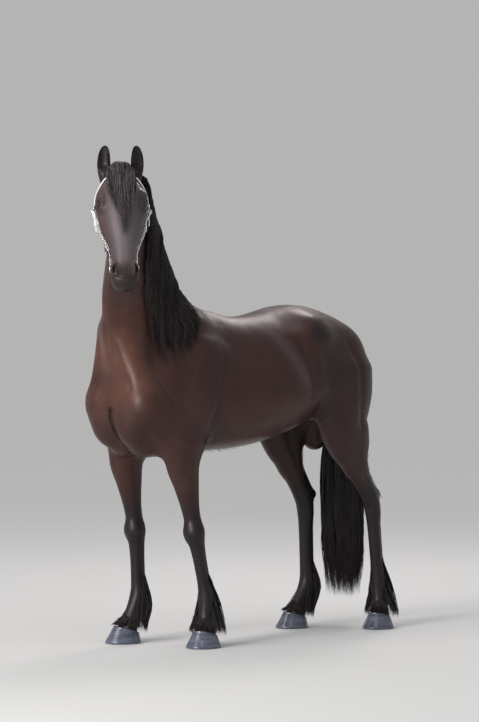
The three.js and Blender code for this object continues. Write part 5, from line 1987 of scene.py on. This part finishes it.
@dataclass
class Tail:
    """The tail, which hangs from the dock."""

    tip: float = 138.0
    locks: int = 70
    style: LockStyle = LockStyle(strands=34, spread=(20, 9), wide=4.6, thick=2.0, gather=0.3, wave=9,
                                 pitch=300, shorter=0.2, stray=0.2)

    def stations(self) -> Array:
        """Rows of x, y, z, half width and half depth, from the dock to the tips."""
        return np.array([
            [1448, 0, 1412, 30, 24], [1530, 5, 1392, 42, 38], [1584, 22, 1300, 64, 50],
            [1590, 60, 1120, 96, 64], [1576, 86, 900, 122, 80], [1574, 86, 660, 124, 92],
            [1572, 78, 430, 124, 96], [1570, 74, 270, 120, 92], [1570, 72, self.tip, 100, 76],
        ], float)

    def point(self, t: Array, angle: Array, share: Array | float) -> Array:
        """The places at t along the tail, at an angle round it and a share of its section."""
        rows = self.stations()
        line = curve(rows[:, :3], 160)
        run = np.linspace(0, 1, len(line))
        wide, deep = along_rows(t, np.linspace(0, 1, len(rows)), rows[:, 3:]).transpose(2, 0, 1)
        back = unit(np.cross(unit(along_rows(t, run, tangents(line))), RIGHT))
        return (along_rows(t, run, line) + RIGHT * (share * wide * np.cos(angle))[..., None]
                + back * (share * deep * np.sin(angle))[..., None])

    def layer(self, rng: np.random.Generator, share: float, style: LockStyle) -> Surface:
        """One layer of locks round the tail, at a share of its section."""
        n = self.locks
        angle = spaced(rng, n) * 2 * np.pi * 5
        start = 0.02 + 0.26 * rng.random(n)
        end = 1.03 - 0.12 * rng.random(n) ** 1.3
        t = np.linspace(0, 1, 14)
        at = start[:, None] + (end - start)[:, None] * t
        turn = angle[:, None] + 0.6 * (rng.random(n) - 0.5)[:, None] * t
        full = share * (0.8 + 0.25 * rng.random(n))[:, None]
        hug = 0.55 + 0.45 * step(t, 0, 0.25) - 0.12 * t**2
        path = self.point(at, turn, full * hug)
        outs = unit(path - self.point(at, turn, 0.0))
        roots = np.stack([(angle / (2 * np.pi)) % 1, start * 3], axis=1)
        return Locks(path, outs, roots, style).surface(rng)

    def build(self, finish: Finish) -> None:
        """Builds the tail's layers."""
        rng = np.random.default_rng(SEED + 2)
        under = replace(self.style, spread=(22, 14))
        self.layer(rng, 0.6, under).piece("tail_under", "hair", finish, "tail")
        self.layer(rng, 0.92, self.style).piece("tail_over", "hair", finish, "tail")


@dataclass
class Feather:
    """The long hair behind a fetlock and pastern, and the short hair that falls over the hoof's top."""

    leg: Leg
    locks: int = 100
    tip: float = 38.0
    style: LockStyle = LockStyle(strands=17, spread=(16, 5), wide=3.2, thick=1.4, gather=0.2, wave=4.0,
                                 pitch=150, shorter=0.4, stray=0.35, above=1.0, sunk=14)

    # Where a lock lies on the flesh: the share of the way from its root down to the hoof, the height
    # in front, what is added to that behind, and the share of the lock's own height.
    START = ((0.0, -13, -3, 0), (0.2, -5, 2, 0.2), (0.6, 2, 17, 1.0))

    def axis(self, z: Array) -> Array:
        """The middle of the leg at heights."""
        rows = np.array([self.leg.coronet, self.leg.fetlock, self.leg.middle])
        return along_rows(z, rows[:, 2], rows)

    def hoof_reach(self, a: Array) -> Array:
        """How far the hoof's top reaches from the place under the coronet, at angles from straight behind."""
        leg = self.leg
        rel = HoofForm.of(leg).ring(leg, 0.79, -12, 58, 0.24, 180) - leg.foot
        angle = np.arctan2(rel @ leg.across, -(rel @ leg.forward))
        order = np.argsort(angle)
        return np.interp(a, angle[order], np.linalg.norm(rel[:, :2], axis=1)[order], period=2 * np.pi)

    def build(self, finish: Finish) -> None:
        """Builds the feather: each lock runs down the pastern, out over the hoof's top and to its tip.

        The share rear is 1 straight behind and 0 in front, and long is 1 where the hair is long.

        Args:
            finish: the hair's finish.
        """
        leg = self.leg
        rng = np.random.default_rng(SEED + 3 + LEGS.index(leg))
        n = self.locks
        a = np.pi * (2 * rng.random(n) - 1)
        a = np.where(rng.random(n) < 0.5, a * 0.6, a)
        way = -leg.forward * np.cos(a)[:, None] + leg.across * np.sin(a)[:, None]
        rear = np.cos(a / 2) ** 2
        long = step(rear, 0.2, 0.85)
        rise = rng.random(n)
        ankle, crown = leg.fetlock[2], leg.coronet[2]
        top = crown + 24 + 60 * rise + (ankle - crown - 20 + 80 * rise**2) * long * (0.35 + 0.65 * rise)
        raised = (3 + 12 * rng.random(n)) * (0.35 + 0.65 * long)
        low = np.maximum(70 - 12 * np.cos(a) + 6 * rng.random(n) - 30 * long * rng.random(n), self.tip)
        reach = self.hoof_reach(a)
        tip = leg.foot + way * (reach + 5 + raised * 0.5 + 24 * long)[:, None] + UP * low[:, None]
        hem = leg.foot + way * (reach + 3 + raised * 0.6 + 28 * long)[:, None] + UP * (crown + 20)
        rows = []
        for t, close, loose, share in self.START:
            z = mix(top, crown + 18, t)
            rows.append(FLESH.surface(self.axis(z), way, close + loose * long + share * raised))
        path = np.stack([curve(line, 9) for line in np.stack([*rows, hem, tip], axis=1)])
        outs = np.broadcast_to(way[:, None], path.shape)
        roots = np.stack([0.5 + a / (2 * np.pi) * 0.98, rise * 0.9], axis=1)
        surface = Locks(path, outs, roots, self.style).surface(rng)
        surface.piece(f"feather_hair_{leg.name}", "hair", finish, f"feather_{leg.name}")


@dataclass
class Tufts:
    """Short tufts that break the coat's smooth form, and longer ones where the hair hangs free."""

    count: int = 2600
    fringe: int = 2200

    @staticmethod
    def combing(p: Array) -> Array:
        """The way in which the coat lies at points: back along the trunk, down the limbs and face."""
        trunk, limb, face = lie(p).T[:, :, None]
        neck = step(p[:, 2], 1350, 1650)[:, None]
        along = mix(vec(0.86, 0, -0.5), vec(0.25, -0.1, -0.96), neck)
        return unit(along * trunk + vec(0.08, 0, -1) * limb + HEAD.l * face)

    @staticmethod
    def unwrapped(p: Array) -> Array:
        """Where points lie on the skin's unwrap: the trunk and neck in one strip, each leg in its own."""
        x, y, z = p.T
        round_trunk = np.arctan2(y, z - 1200) / (2 * np.pi) + 0.5
        body = np.stack([0.01 + 0.56 * round_trunk, 0.02 + 0.94 * (x + 500) / 2200], axis=1)
        middles = np.array([leg.middle for leg in LEGS])
        which = np.hypot(x - middles[:, :1], y - middles[:, 1:2]).argmin(axis=0)
        centre = middles[which]
        turn = np.arctan2(y - centre[:, 1], x - centre[:, 0]) / (2 * np.pi) + 0.5
        limbs = np.stack([0.59 + 0.1 * which + 0.09 * turn, 0.02 + 0.94 * np.clip(z / 900, 0, 1)], axis=1)
        return np.where((z < 880)[:, None], limbs, body)

    @staticmethod
    def lines() -> list[tuple[Array, float, float]]:
        """The lines along which hair hangs free, with its length and how far it stands out."""
        belly = [(300, 0, 925), (560, 0, 900), (820, 0, 925), (1060, 0, 1000)]
        breast = [(-10, 0, 1130), (40, 0, 1010), (150, 0, 940)]
        chin = on_head([(120, -185, 0), (220, -215, 0), (320, -200, 0), (430, -175, 0)])
        jaw = [(120, -150, 50), (225, -215, 45), (330, -198, 40)]
        found = [(curve(belly, 60), 26, 0.5), (curve(breast, 40), 22, 0.4), (curve(chin, 40), 24, 0.5)]
        found += [(curve(on_head(jaw, side.value), 40), 22, 0.4) for side in SIDES]
        for leg in LEGS:
            upper = leg.joints["elbow"] if leg.fore else mix(leg.joints["stifle"], leg.middle, 0.3)
            back = np.array([upper, mix(upper, leg.middle, 0.5), leg.middle]) + BACK * 70
            found.append((curve(back, 50), 20, 0.4))
        return found

    def strands(self, rng: np.random.Generator, root: Array, size: Array, stand: float) -> Strands:
        """One strand at each root: root + combing * size * t + out * size * stand * t^1.5.

        Args:
            rng: the source of their differences.
            root: places on the skin, (n, 3).
            size: the strands' lengths.
            stand: how far their tips stand out, as a share of the length.

        Returns:
            The strands.
        """
        out = FLESH.out(root)
        comb = self.combing(root) + 0.35 * (rng.random(root.shape) - 0.5)
        way = unit(comb - out * dot(comb, out)[:, None])
        t = np.linspace(0, 1, 5)[None, :, None]
        path = root[:, None] - 1.5 * out[:, None] + way[:, None] * size[:, None, None] * t
        path = path + out[:, None] * (stand * size[:, None, None] * t**1.5 + 2.2 * np.sqrt(t))
        outs = np.broadcast_to(out[:, None], path.shape)
        wide = 1.3 + 1.3 * rng.random(len(root))
        return Strands(path, outs, wide, 0.3 * wide, self.unwrapped(root), start=0.2, power=1.6)

    def build(self, rng: np.random.Generator, skin: Surface, coat: Finish) -> None:
        """Builds the tufts over the skin but for the face and feet, and along the lines.

        Args:
            rng: the source of their differences.
            skin: the skin that they grow from.
            coat: its finish.
        """
        a, b, c, d = (skin.points[skin.quads[:, k]] for k in range(4))
        centres = skin.points[skin.quads].mean(axis=1)
        x, _, z = centres.T
        on_face = (HEAD.local(centres)[:, 0] > 60) & (z > 1640) & (x < 160)
        share = np.linalg.norm(np.cross(c - a, d - b), axis=1) * ((z > 330) & ~on_face)
        picked = rng.choice(len(centres), self.count, p=share / share.sum())
        sets = [self.strands(rng, centres[picked], 15 + 11 * rng.random(self.count), 0.02)]
        lines = self.lines()
        each = self.fringe // len(lines)
        for line, size, stand in lines:
            at = line[rng.integers(0, len(line), each)] + 12 * (rng.random((each, 3)) - 0.5)
            sets.append(self.strands(rng, FLESH.settle(at), size * (0.6 + 0.7 * rng.random(each)), stand))
        parts = []
        for strands in sets:
            part = strands.surface(rng)
            root, count = strands.lines[:, 0], len(part.points) // len(strands.lines)
            part.values = {"markings": np.repeat(markings(root), count, axis=0),
                           "lie": np.repeat(lie(root), count, axis=0)}
            parts.append(part)
        Surface.joined(parts).piece("coat_tufts", "coat", coat)


@dataclass
class FineHair:
    """Eyelashes, the whiskers of the muzzle and chin, and the hair in the ears."""

    lash_count: int = 34
    whisker_count: int = 60
    ear_count: int = 150
    lash_wide: float = 0.7
    whisker_wide: float = 0.5
    ear_wide: float = 1.8

    def lashes(self, eye: Eye, rng: np.random.Generator) -> tuple[Array, Array]:
        """The roots of an eye's upper lashes and the ways and lengths of the hairs."""
        n = self.lash_count
        a = np.radians(20 + 140 * spaced(rng, n))
        root = (eye.at + eye.level * (21.5 * np.cos(a))[:, None] + eye.up * (14.5 * np.sin(a))[:, None]
                + eye.out * (21 - 5 * np.abs(np.cos(a)))[:, None])
        way = eye.out * 0.8 + eye.up * 0.35 + eye.level * (0.5 * np.cos(a))[:, None]
        return root, unit(way) * (13 + 5 * rng.random(n))[:, None]

    def whiskers(self, rng: np.random.Generator) -> tuple[Array, Array]:
        """The roots, ways and lengths of the muzzle's and chin's whiskers."""
        n = self.whisker_count
        l = 540 + 55 * rng.random(n)
        f = -70 - 75 * rng.random(n)
        w = 46 * (2 * rng.random(n) - 1)
        root = FLESH.settle(HEAD.point(l, f, w), -1)
        way = FLESH.out(root) + 0.3 * (rng.random((n, 3)) - 0.5) - UP * 0.35
        return root, unit(way) * (16 + 22 * rng.random(n))[:, None]

    def ear_hair(self, ear: "Ear", rng: np.random.Generator) -> tuple[Array, Array]:
        """The roots, ways and lengths of the hair along an ear's opening."""
        _, up, side, front = ear.frame()
        n = self.ear_count
        t = 0.06 + 0.62 * rng.random(n)
        edge = np.where(rng.random(n) < 0.5, -1, 1)
        wide = ear.half_width(t) * (0.84 + 0.12 * rng.random(n))
        start = ear.middle(t) + side * (edge * wide)[:, None] - front * (6 + 3 * rng.random(n))[:, None]
        way = front * 0.35 + up * 0.9 - side * (edge * 0.55)[:, None] + 0.3 * (rng.random((n, 3)) - 0.5)
        return start, unit(way) * (20 + 16 * rng.random(n))[:, None]

    def build(self, finish: Finish) -> None:
        """Builds the fine hair as one piece. Each hair sags a little: root + way * t - sag * t^2."""
        rng = np.random.default_rng(SEED + 9)
        sets = [(*self.lashes(eye, rng), self.lash_wide) for eye in EYES]
        sets.append((*self.whiskers(rng), self.whisker_wide))
        sets += [(*self.ear_hair(Ear(side), rng), self.ear_wide) for side in SIDES]
        t = np.linspace(0, 1, 6)[None, :, None]
        sag = UP * 5
        parts = []
        for root, way, wide in sets:
            path = root[:, None] + way[:, None] * t - sag * t**2
            outs = np.broadcast_to(unit(np.cross(way, vec(0.3, 0.9, 0.2)))[:, None], path.shape)
            size = wide * (0.7 + 0.6 * rng.random(len(root)))
            baked = rng.random((len(root), 2)) * 0.98
            parts.append(Strands(path, outs, size, size * 0.7, baked).surface(rng))
        Surface.joined(parts).piece("fine_hair", "hair", finish)


# Hooves, eyes and ears

@dataclass
class Hoof:
    """A hoof: round toe, open heel, its wall leaning forward, its top on the coronet's slope."""

    leg: Leg
    rows: int = 34
    around: int = 96
    ripple: float = 0.0009
    cleft: float = 0.16
    bulb: float = 0.06
    flare: float = 0.09

    def build(self, finish: Finish) -> None:
        """Lofts the hoof through rings from its sole to its coronet.

        A key is the share of the height, then the ring's scale, shift, level and slope. Growth rings
        ripple the wall, the heel has a cleft between two bulbs, and the wall flares to the floor.
        """
        keys = np.array([
            [0.0, 0.93, 0, 0, 0], [0.03, 0.99, 0, 2, 0], [0.12, 1.0, 0, 9, 0], [0.45, 0.885, -7, 34, 0.10],
            [0.85, 0.765, -13, 61, 0.27], [0.93, 0.765, -13.5, 65, 0.29], [1.0, 0.70, -15, 67.6, 0.3],
        ])
        t = np.linspace(0, 1, self.rows)
        form = HoofForm.of(self.leg)
        rows = along_rows(t, keys[:, 0], keys[:, 1:])
        rings = np.stack([form.ring(self.leg, *row, self.around) for row in rows])
        a = turn_of(self.around)
        heel = step(-np.cos(a), 0.55, 1.0)
        t = t[:, None]
        ripple = (self.ripple * np.sin(t * 46 + 0.6 * np.cos(a)[None])
                  * step(t, 0.05, 0.2) * step(1 - t, 0.08, 0.2))
        cleft = heel * hump(np.sin(a), 0, 0.22) * self.cleft * step(1 - t, 0.1, 0.9)
        bulb = heel * hump(np.abs(np.sin(a)), 0.42, 0.25) * self.bulb * step(t, 0.3, 0.8)
        flare = self.flare * (1 - t) ** 1.3
        middle = rings.mean(axis=1, keepdims=True)
        rings = middle + (rings - middle) * (1 + ripple - cleft + bulb + flare)[..., None]
        rings[..., 2] = np.maximum(rings[..., 2], 0)
        surface = lofted(rings)
        surface.values["along"] = np.append(np.repeat(t, self.around), [0.0, 1.0])
        surface.piece(f"horn_{self.leg.name}", "horn", finish, f"hoof_{self.leg.name}")


@dataclass
class EyeBall:
    """An eyeball with the swelling of its cornea."""

    eye: Eye
    swelling: float = 1.8
    rows: int = 40
    around: int = 56

    def build(self, finish: Finish) -> None:
        """Lofts the eyeball: radius + swelling * rise(cos of the angle from its gaze)."""
        eye = self.eye
        theta = np.linspace(0.001, np.pi - 0.001, self.rows)[:, None]
        phi = turn_of(self.around)[None]
        radius = (eye.radius - 0.3) + self.swelling * step(np.cos(theta), 0.62, 0.95) + 0 * phi
        local = np.stack([np.sin(theta) * np.cos(phi), np.sin(theta) * np.sin(phi), np.cos(theta) + 0 * phi],
                         axis=-1)
        surface = lofted(eye.at + radius[..., None] * (local @ np.stack([eye.level, eye.up, eye.out])))
        surface.values["gaze"] = np.concatenate([local.reshape(-1, 3), [UP, -UP]])
        surface.piece(f"eyeball_{eye.side.word}", "eye", finish, f"eye_{eye.side.word}")


@dataclass
class Ear:
    """An ear: a leaf-shaped cup, open to the front, its tip leaning in."""

    side: Side
    length: float = 148.0
    bend: float = 16.0
    rows: int = 48

    def frame(self) -> tuple[Array, Array, Array, Array]:
        """The ear's root, and its ways up, across and to the front."""
        s = self.side.value
        up = unit(UP * 0.97 + HEAD.ahead * 0.1 + HEAD.w * s * 0.1)
        open_way = unit(HEAD.ahead * 0.93 + HEAD.w * s * 0.3)
        front = unit(open_way - up * (open_way @ up))
        return HEAD.point(30, 0, s * 76), up, np.cross(up, front), front

    @staticmethod
    def half_width(t: Array) -> Array:
        """Half the ear's width at shares of its length: widest under the middle, with a rounded tip."""
        above = 2.5 + 29 * np.sqrt((1 - ((t - 0.40) / 0.60).clip(0, 1) ** 2.1).clip(0))
        return above - 6 * ((0.40 - t) / 0.40).clip(0) ** 1.6

    def middle(self, t: Array) -> Array:
        """The ear's middle line at shares of its length, bent in towards the other ear's."""
        root, up, _, _ = self.frame()
        bend = self.side.value * self.bend * t * np.abs(t)
        return root + up * (self.length * t)[:, None] - HEAD.w * bend[:, None]

    def build(self, coat: Finish) -> None:
        """Lofts the ear: half an oval behind, and a shallower one in front that is its cup."""
        _, _, side, front = self.frame()
        t = np.linspace(-0.3, 1, self.rows)
        share = t.clip(0)
        wide = self.half_width(share) * (1 + 0.9 * t.clip(-1, 0))
        deep = wide * (0.85 - 0.35 * share)
        cup = -0.7 + 1.44 * step(share, 0.1, 0.45)
        middle = self.middle(t)

        def arc(degrees: Array, w: Array, d: Array) -> Array:
            """One side of each ring: middle + side * w * sin(a) - front * d * cos(a)."""
            a = np.radians(degrees)
            return (middle[:, None] + side * (w[:, None] * np.sin(a))[..., None]
                    - front * (d[:, None] * np.cos(a))[..., None])

        surface = lofted(np.concatenate([
            arc(np.linspace(-90, 90, 29), wide, deep), arc(np.linspace(72, -72, 21), wide * 0.93, deep * cup),
        ], axis=1))
        count = len(surface.points)
        surface.values["markings"] = np.tile([1.0, 0.0, 0.0], (count, 1))
        surface.values["lie"] = np.tile([0.0, 1.0, 0.0], (count, 1))
        surface.piece(f"ear_skin_{self.side.word}", "coat", coat, f"ear_{self.side.word}")


# The bridle

def over_head(rows: Rows) -> Array:
    """Places from the head's right side over its middle, where the rows end, to its left."""
    return np.concatenate([on_head(rows), on_head(rows[-2::-1], -1)])


@dataclass(frozen=True)
class Link:
    """A closed link of round wire: half its length and width to the wire's middle, and half the wire."""

    long: float
    wide: float
    wire: float
    around: int

    ROUND_WIRE = 8

    def surface(self, at: Array, normal: Array, along: Array) -> Surface:
        """The wire carried round an oval whose ends are round.

        Args:
            at: its middle.
            normal: the way out of its plane.
            along: its long way.

        Returns:
            The link.
        """
        along = unit(along - normal * (along @ normal))
        side = np.cross(normal, along)
        a = turn_of(self.around)
        straight = max(self.long - self.wide, 0)
        x = np.cos(a) * self.wide + np.sign(np.cos(a)) * straight * np.minimum(np.abs(np.cos(a)) * 4, 1)
        y = np.sin(a) * self.wide
        path = at + x[:, None] * along + y[:, None] * side
        across = np.cross(unit(np.roll(path, -1, axis=0) - np.roll(path, 1, axis=0)), normal)
        b = turn_of(self.ROUND_WIRE)[None, :, None]
        rings = path[:, None] + self.wire * (across[:, None] * np.cos(b) + normal * np.sin(b))
        closed = grid_quads(self.around + 1, self.ROUND_WIRE) % (self.around * self.ROUND_WIRE)
        return turned_out(Surface(rings.reshape(-1, 3), closed))


@dataclass
class Chain:
    """Links hung along a path on the head, each turned a quarter against the last."""

    path: Array
    outs: Array = field(init=False)
    ways: Array = field(init=False)
    parts: list[Surface] = field(default_factory=list)

    def __post_init__(self) -> None:
        """Finds the ways out of the coat and along the path."""
        self.outs = FLESH.out(self.path)
        self.ways = tangents(self.path)

    def hang(self, link: Link, at: int, flat: bool) -> None:
        """Adds a link at a point of the path, flat on the coat or on its edge."""
        out, way = self.outs[at], self.ways[at]
        self.parts.append(link.surface(self.path[at], out if flat else unit(np.cross(out, way)), way))


@dataclass
class Bridle:
    """A white show bridle: bands, rosettes, ribbons, and chains to rings at the mouth's corners."""

    band: float = 15.0
    thick: float = 4.2
    brow_thick: float = 4.6
    beads: int = 16
    ribbon_length: float = 98.0
    ribbon_wide: float = 12.0
    ribbon_thick: float = 1.3
    ring: Link = Link(14.5, 14.5, 3.0, 36)
    cheek_link: Link = Link(7.0, 4.6, 1.5, 28)
    long_link: Link = Link(26.0, 7.5, 1.5, 28)
    chin_link: Link = Link(6.8, 4.2, 1.4, 24)
    chin_links: int = 23
    overlap: float = 4.2
    strap: Finish = StrapFinish()
    ribbon: Finish = StrapFinish("ribbon", white=(0.62, 0.61, 0.62), worn=(0.4, 0.38, 0.36), rough=0.5)
    metal: Finish = MetalFinish()

    TEMPLE = (176, -52, 120)
    BROW = (TEMPLE, (110, 20, 112), (66, 40, 60), (56, 48, 0))
    CROWN = (TEMPLE, (110, -80, 112), (40, -85, 100), (-2, -50, 84), (-14, 0, 46), (-16, 14, 0))
    MOUTH_CORNER = (512, -92, 62)
    CHIN = ((530, -150, 50), (545, -165, 20), (548, -168, 0))

    # The rosette's edge from its back to its middle: the radius, and the height over the seat.
    ROSETTE = ((16.6, -4.4), (17.2, -1.2), (16.4, 0.6), (14.2, 0.9), (13.0, 0.2),
               (11.4, 0.6), (8.0, 2.4), (3.5, 3.6), (0.3, 3.9))

    def build(self) -> None:
        """Builds every piece of the bridle."""
        self.strip("browband", over_head(self.BROW), self.band, self.brow_thick, 90, "bridle_browband")
        self.strip("crown_strap", over_head(self.CROWN), self.band, self.thick, 110, "bridle_crown")
        for side in SIDES:
            self.cheek(side)
        self.chin()

    def corner(self, side: Side) -> Array:
        """The ring's place at the corner of the mouth."""
        return FLESH.settle(on_head([self.MOUTH_CORNER], side.value)[0], 9)

    def strip(self, name: str, through: Array, wide: float, thick: float, count: int, node: str) -> None:
        """A band laid on the head: a rounded rectangle carried along a settled curve.

        Args:
            name: the piece's name.
            through: the points that the band passes over.
            wide: its width.
            thick: its thickness.
            count: how many points the curve has.
            node: the node that it stands for.
        """
        path = FLESH.settle(curve(through, count), thick / 2 - 0.4)
        band = swept(path, round_profile(wide, thick, 16, 3.2), FLESH.out(path))
        band.piece(name, "strap", self.strap, node)

    def cheek(self, side: Side) -> None:
        """One cheek: its strap, rosette, ribbons, chain and ring."""
        top = on_head([self.TEMPLE], side.value)[0]
        low = self.corner(side)
        line = np.array([mix(top, low, t) for t in (0.03, 0.1, 0.18, 0.27)])
        self.strip(f"cheek_strap_{side.word}", line, self.band * 0.9, self.thick, 26,
                   f"bridle_cheek_{side.word}")
        seat = FLESH.settle(top, 6.5)
        out = FLESH.out(seat)
        self.rosette(side, seat, out)
        self.ribbons(side, seat, out)
        self.chain(side, top, low)
        ring = self.ring.surface(low, FLESH.out(low), HEAD.l)
        ring.piece(f"mouth_ring_{side.word}", "chain_metal", self.metal, f"bridle_ring_{side.word}")

    def rosette(self, side: Side, at: Array, out: Array) -> None:
        """The round plate at the temple, with a domed middle and a beaded rim."""
        a = turn_of(48)
        up = unit(np.cross(out, HEAD.l))
        across = np.cross(up, out)
        radius, high = np.array(self.ROSETTE).T[:, :, None]
        bead = 0.5 * np.cos(a * self.beads) * ((radius > 13.5) & (radius < 17.0))
        rings = (at + (radius * np.cos(a))[..., None] * up + (radius * np.sin(a))[..., None] * across
                 + (high + bead)[..., None] * out)
        lofted(rings).piece(f"rosette_{side.word}", "chain_metal", self.metal, f"bridle_rosette_{side.word}")

    def ribbons(self, side: Side, at: Array, out: Array) -> None:
        """Two short ribbons that hang from behind the rosette."""
        parts = []
        for shift in (-6, 6):
            root = at + HEAD.l * 13 + HEAD.f * shift
            path = FLESH.fall(root[None], (out * 0.25 + HEAD.f * shift * 0.05)[None],
                              np.array([self.ribbon_length]), steps=26, weight=0.2, above=np.array([7.0]),
                              cling=0.1, drift=np.zeros((1, 3)))[0]
            t = np.linspace(0, 1, len(path))
            path = path + out * (9 * t + 1.6 * np.sin(t * 9 + shift) * t)[:, None]
            profile = round_profile(self.ribbon_wide, self.ribbon_thick, 12, 4)
            parts.append(swept(path, profile, unit(out + HEAD.f * 0.8), 1 + 0.05 * np.sin(t * 7)))
        pair = Surface.joined(parts)
        pair.piece(f"ribbon_pair_{side.word}", "strap", self.ribbon, f"bridle_ribbons_{side.word}")

    def chain(self, side: Side, top: Array, low: Array) -> None:
        """The cheek's chain: close links, with one long link before the ring."""
        path = FLESH.settle(np.array([mix(top, low, t) for t in np.linspace(0.27, 0.955, 200)]), 5.5)
        chain = Chain(path)
        run = run_of(path)
        at = 0.0
        while at < run[-1] - 12:
            link = self.long_link if 60 < run[-1] - at < 100 else self.cheek_link
            i = int(np.searchsorted(run, min(at + link.long, run[-1] - 4)))
            chain.hang(link, i, link is self.long_link or len(chain.parts) % 2 == 0)
            at += 2 * link.long - self.overlap
        Surface.joined(chain.parts).piece(f"cheek_chain_{side.word}", "chain_metal", self.metal,
                                          f"bridle_chain_{side.word}")

    def chin(self) -> None:
        """The chain under the chin, from ring to ring."""
        ends = [self.corner(side) + HEAD.l * 14 for side in (Side.RIGHT, Side.LEFT)]
        path = curve(np.concatenate([ends[:1], over_head(self.CHIN), ends[1:]]), 240)
        chain = Chain(FLESH.settle(path, 4.5))
        for k, i in enumerate(np.linspace(4, 235, self.chin_links).astype(int)):
            chain.hang(self.chin_link, i, k % 2 == 0)
        Surface.joined(chain.parts).piece("chin_links", "chain_metal", self.metal, "bridle_chin_chain")


# The studio

@dataclass(frozen=True)
class Lamp:
    """A soft round light that looks at the middle of the horse."""

    name: str
    at: tuple[float, float, float]
    size: float
    power: float
    colour: Colour


@dataclass
class Studio:
    """The floor, lights and camera. The focal length, picture's height and horizon are in pixels."""

    focal: float = 3217.0
    picture: float = 722.0
    horizon: float = 277.0
    azimuth: float = math.radians(42)
    at: Array = field(default_factory=lambda: vec(-9506, -11459, 1730))
    sky: Colour = (0.460, 0.457, 0.455)
    sun: float = 1.25
    sun_colour: Colour = (1.0, 0.97, 0.93)
    sun_way: tuple[float, float, float] = (-0.83, 0.06, 0.55)
    sun_spread: float = math.radians(38)
    lamps: tuple[Lamp, ...] = (
        Lamp("key", (-7.4, -1.6, 2.4), 2.2, 330, (1.0, 0.97, 0.93)),
        Lamp("top", (-1.6, -2.6, 5.6), 2.4, 20, (0.96, 0.98, 1.0)),
        Lamp("rim", (3.2, 1.8, 4.9), 1.8, 82, (1.0, 0.95, 0.92)),
    )
    lit_at: tuple[float, float, float] = (0.0, 0.0, 1.2)
    rings: tuple[float, ...] = (0.5, 4, 12, 40, 160, 700)
    around: int = 96

    def build(self) -> None:
        """Builds the studio."""
        bpy.context.scene.view_settings.view_transform = "Standard"
        self.floor()
        self.world()
        self.lights()
        self.camera()

    def floor(self) -> None:
        """A wide round floor, of the colour that makes it as bright as the surroundings far away.

        Its colour is sky / (sky + light of the sun on the level / pi).
        """
        a = turn_of(self.around)
        ring = np.stack([np.cos(a), np.sin(a), 0 * a], axis=1)
        points = np.concatenate([ring * r for r in self.rings] + [np.zeros((1, 3))])
        quads = grid_quads(len(self.rings), self.around)
        k = np.arange(self.around)
        tris = np.stack([np.full(self.around, len(points) - 1), k, (k + 1) % self.around], axis=1)
        mesh = bpy.data.meshes.new("studio_floor")
        mesh.from_pydata(points.tolist(), [], [*quads[:, ::-1].tolist(), *tris.tolist()])
        obj = bpy.data.objects.new("studio_floor", mesh)
        bpy.context.collection.objects.link(obj)
        level = self.sun * unit(vec(*self.sun_way))[2] / math.pi
        pale = tuple(sky / (sky + level * tint) for sky, tint in zip(self.sky, self.sun_colour))
        mesh.materials.append(FloorFinish(pale).material())

    def world(self) -> None:
        """An even pale surrounding light."""
        world = bpy.data.worlds.new("studio")
        world.use_nodes = True
        back = world.node_tree.nodes["Background"]
        back.inputs["Color"].default_value = (*self.sky, 1)
        back.inputs["Strength"].default_value = 1.0
        bpy.context.scene.world = world

    @staticmethod
    def lit(name: str, kind: str, at: Array, aim: Array, settings: Mapping) -> None:
        """Adds a light.

        Args:
            name: its name.
            kind: its type.
            at: where it is, in metres.
            aim: the way that it shines.
            settings: its properties.
        """
        lamp = bpy.data.lights.new(name, kind)
        for key, value in settings.items():
            setattr(lamp, key, value)
        obj = bpy.data.objects.new(name, lamp)
        obj.location = at
        obj.rotation_euler = (math.acos(-unit(aim)[2]), 0, math.atan2(aim[1], aim[0]) - math.pi / 2)
        bpy.context.collection.objects.link(obj)

    def lights(self) -> None:
        """A wide sun from in front of the horse, and soft lamps for the gloss of its coat."""
        self.lit("sun", "SUN", vec(0, 0, 8), -vec(*self.sun_way),
                 {"energy": self.sun, "angle": self.sun_spread, "color": self.sun_colour})
        for lamp in self.lamps:
            at = vec(*lamp.at)
            self.lit(lamp.name, "AREA", at, vec(*self.lit_at) - at,
                     {"shape": "DISK", "size": lamp.size, "energy": lamp.power, "color": lamp.colour})

    def camera(self) -> None:
        """The photograph's camera: level but for the tilt that sets the horizon above the middle."""
        lens = bpy.data.cameras.new("camera")
        lens.sensor_width = 36.0
        lens.lens = self.focal * lens.sensor_width / self.picture
        lens.clip_end = 1500
        obj = bpy.data.objects.new("camera", lens)
        obj.location = (self.at - SHIFT) * MM
        tilt = math.atan((self.picture / 2 - self.horizon) / self.focal)
        obj.rotation_euler = (math.pi / 2 - tilt, 0, -self.azimuth)
        bpy.context.collection.objects.link(obj)
        bpy.context.scene.camera = obj


def main() -> None:
    """Builds the horse, its bridle and the studio."""
    coat = CoatFinish()
    hair = HairFinish()
    forelock_hair = HairFinish("forelock_hair", root=(0.026, 0.021, 0.024), tip=(0.070, 0.056, 0.058),
                               streak=(0.140, 0.118, 0.128))
    Studio().build()
    skin = Skin().build()
    skin.piece("skin", "coat", coat, "head", "neck", "torso", *(f"leg_{leg.name}" for leg in LEGS))
    Tufts().build(np.random.default_rng(SEED + 8), skin, coat)
    FineHair().build(hair)
    for side in SIDES:
        Ear(side).build(coat)
    for eye in EYES:
        EyeBall(eye).build(EyeFinish())
    for leg in LEGS:
        Hoof(leg).build(HornFinish())
        Feather(leg).build(hair)
    Mane().build(hair)
    Forelock().build(forelock_hair)
    Tail().build(hair)
    Bridle().build()


if __name__ == "__main__":
    logging.basicConfig(level=logging.INFO, format="%(message)s")
    main()
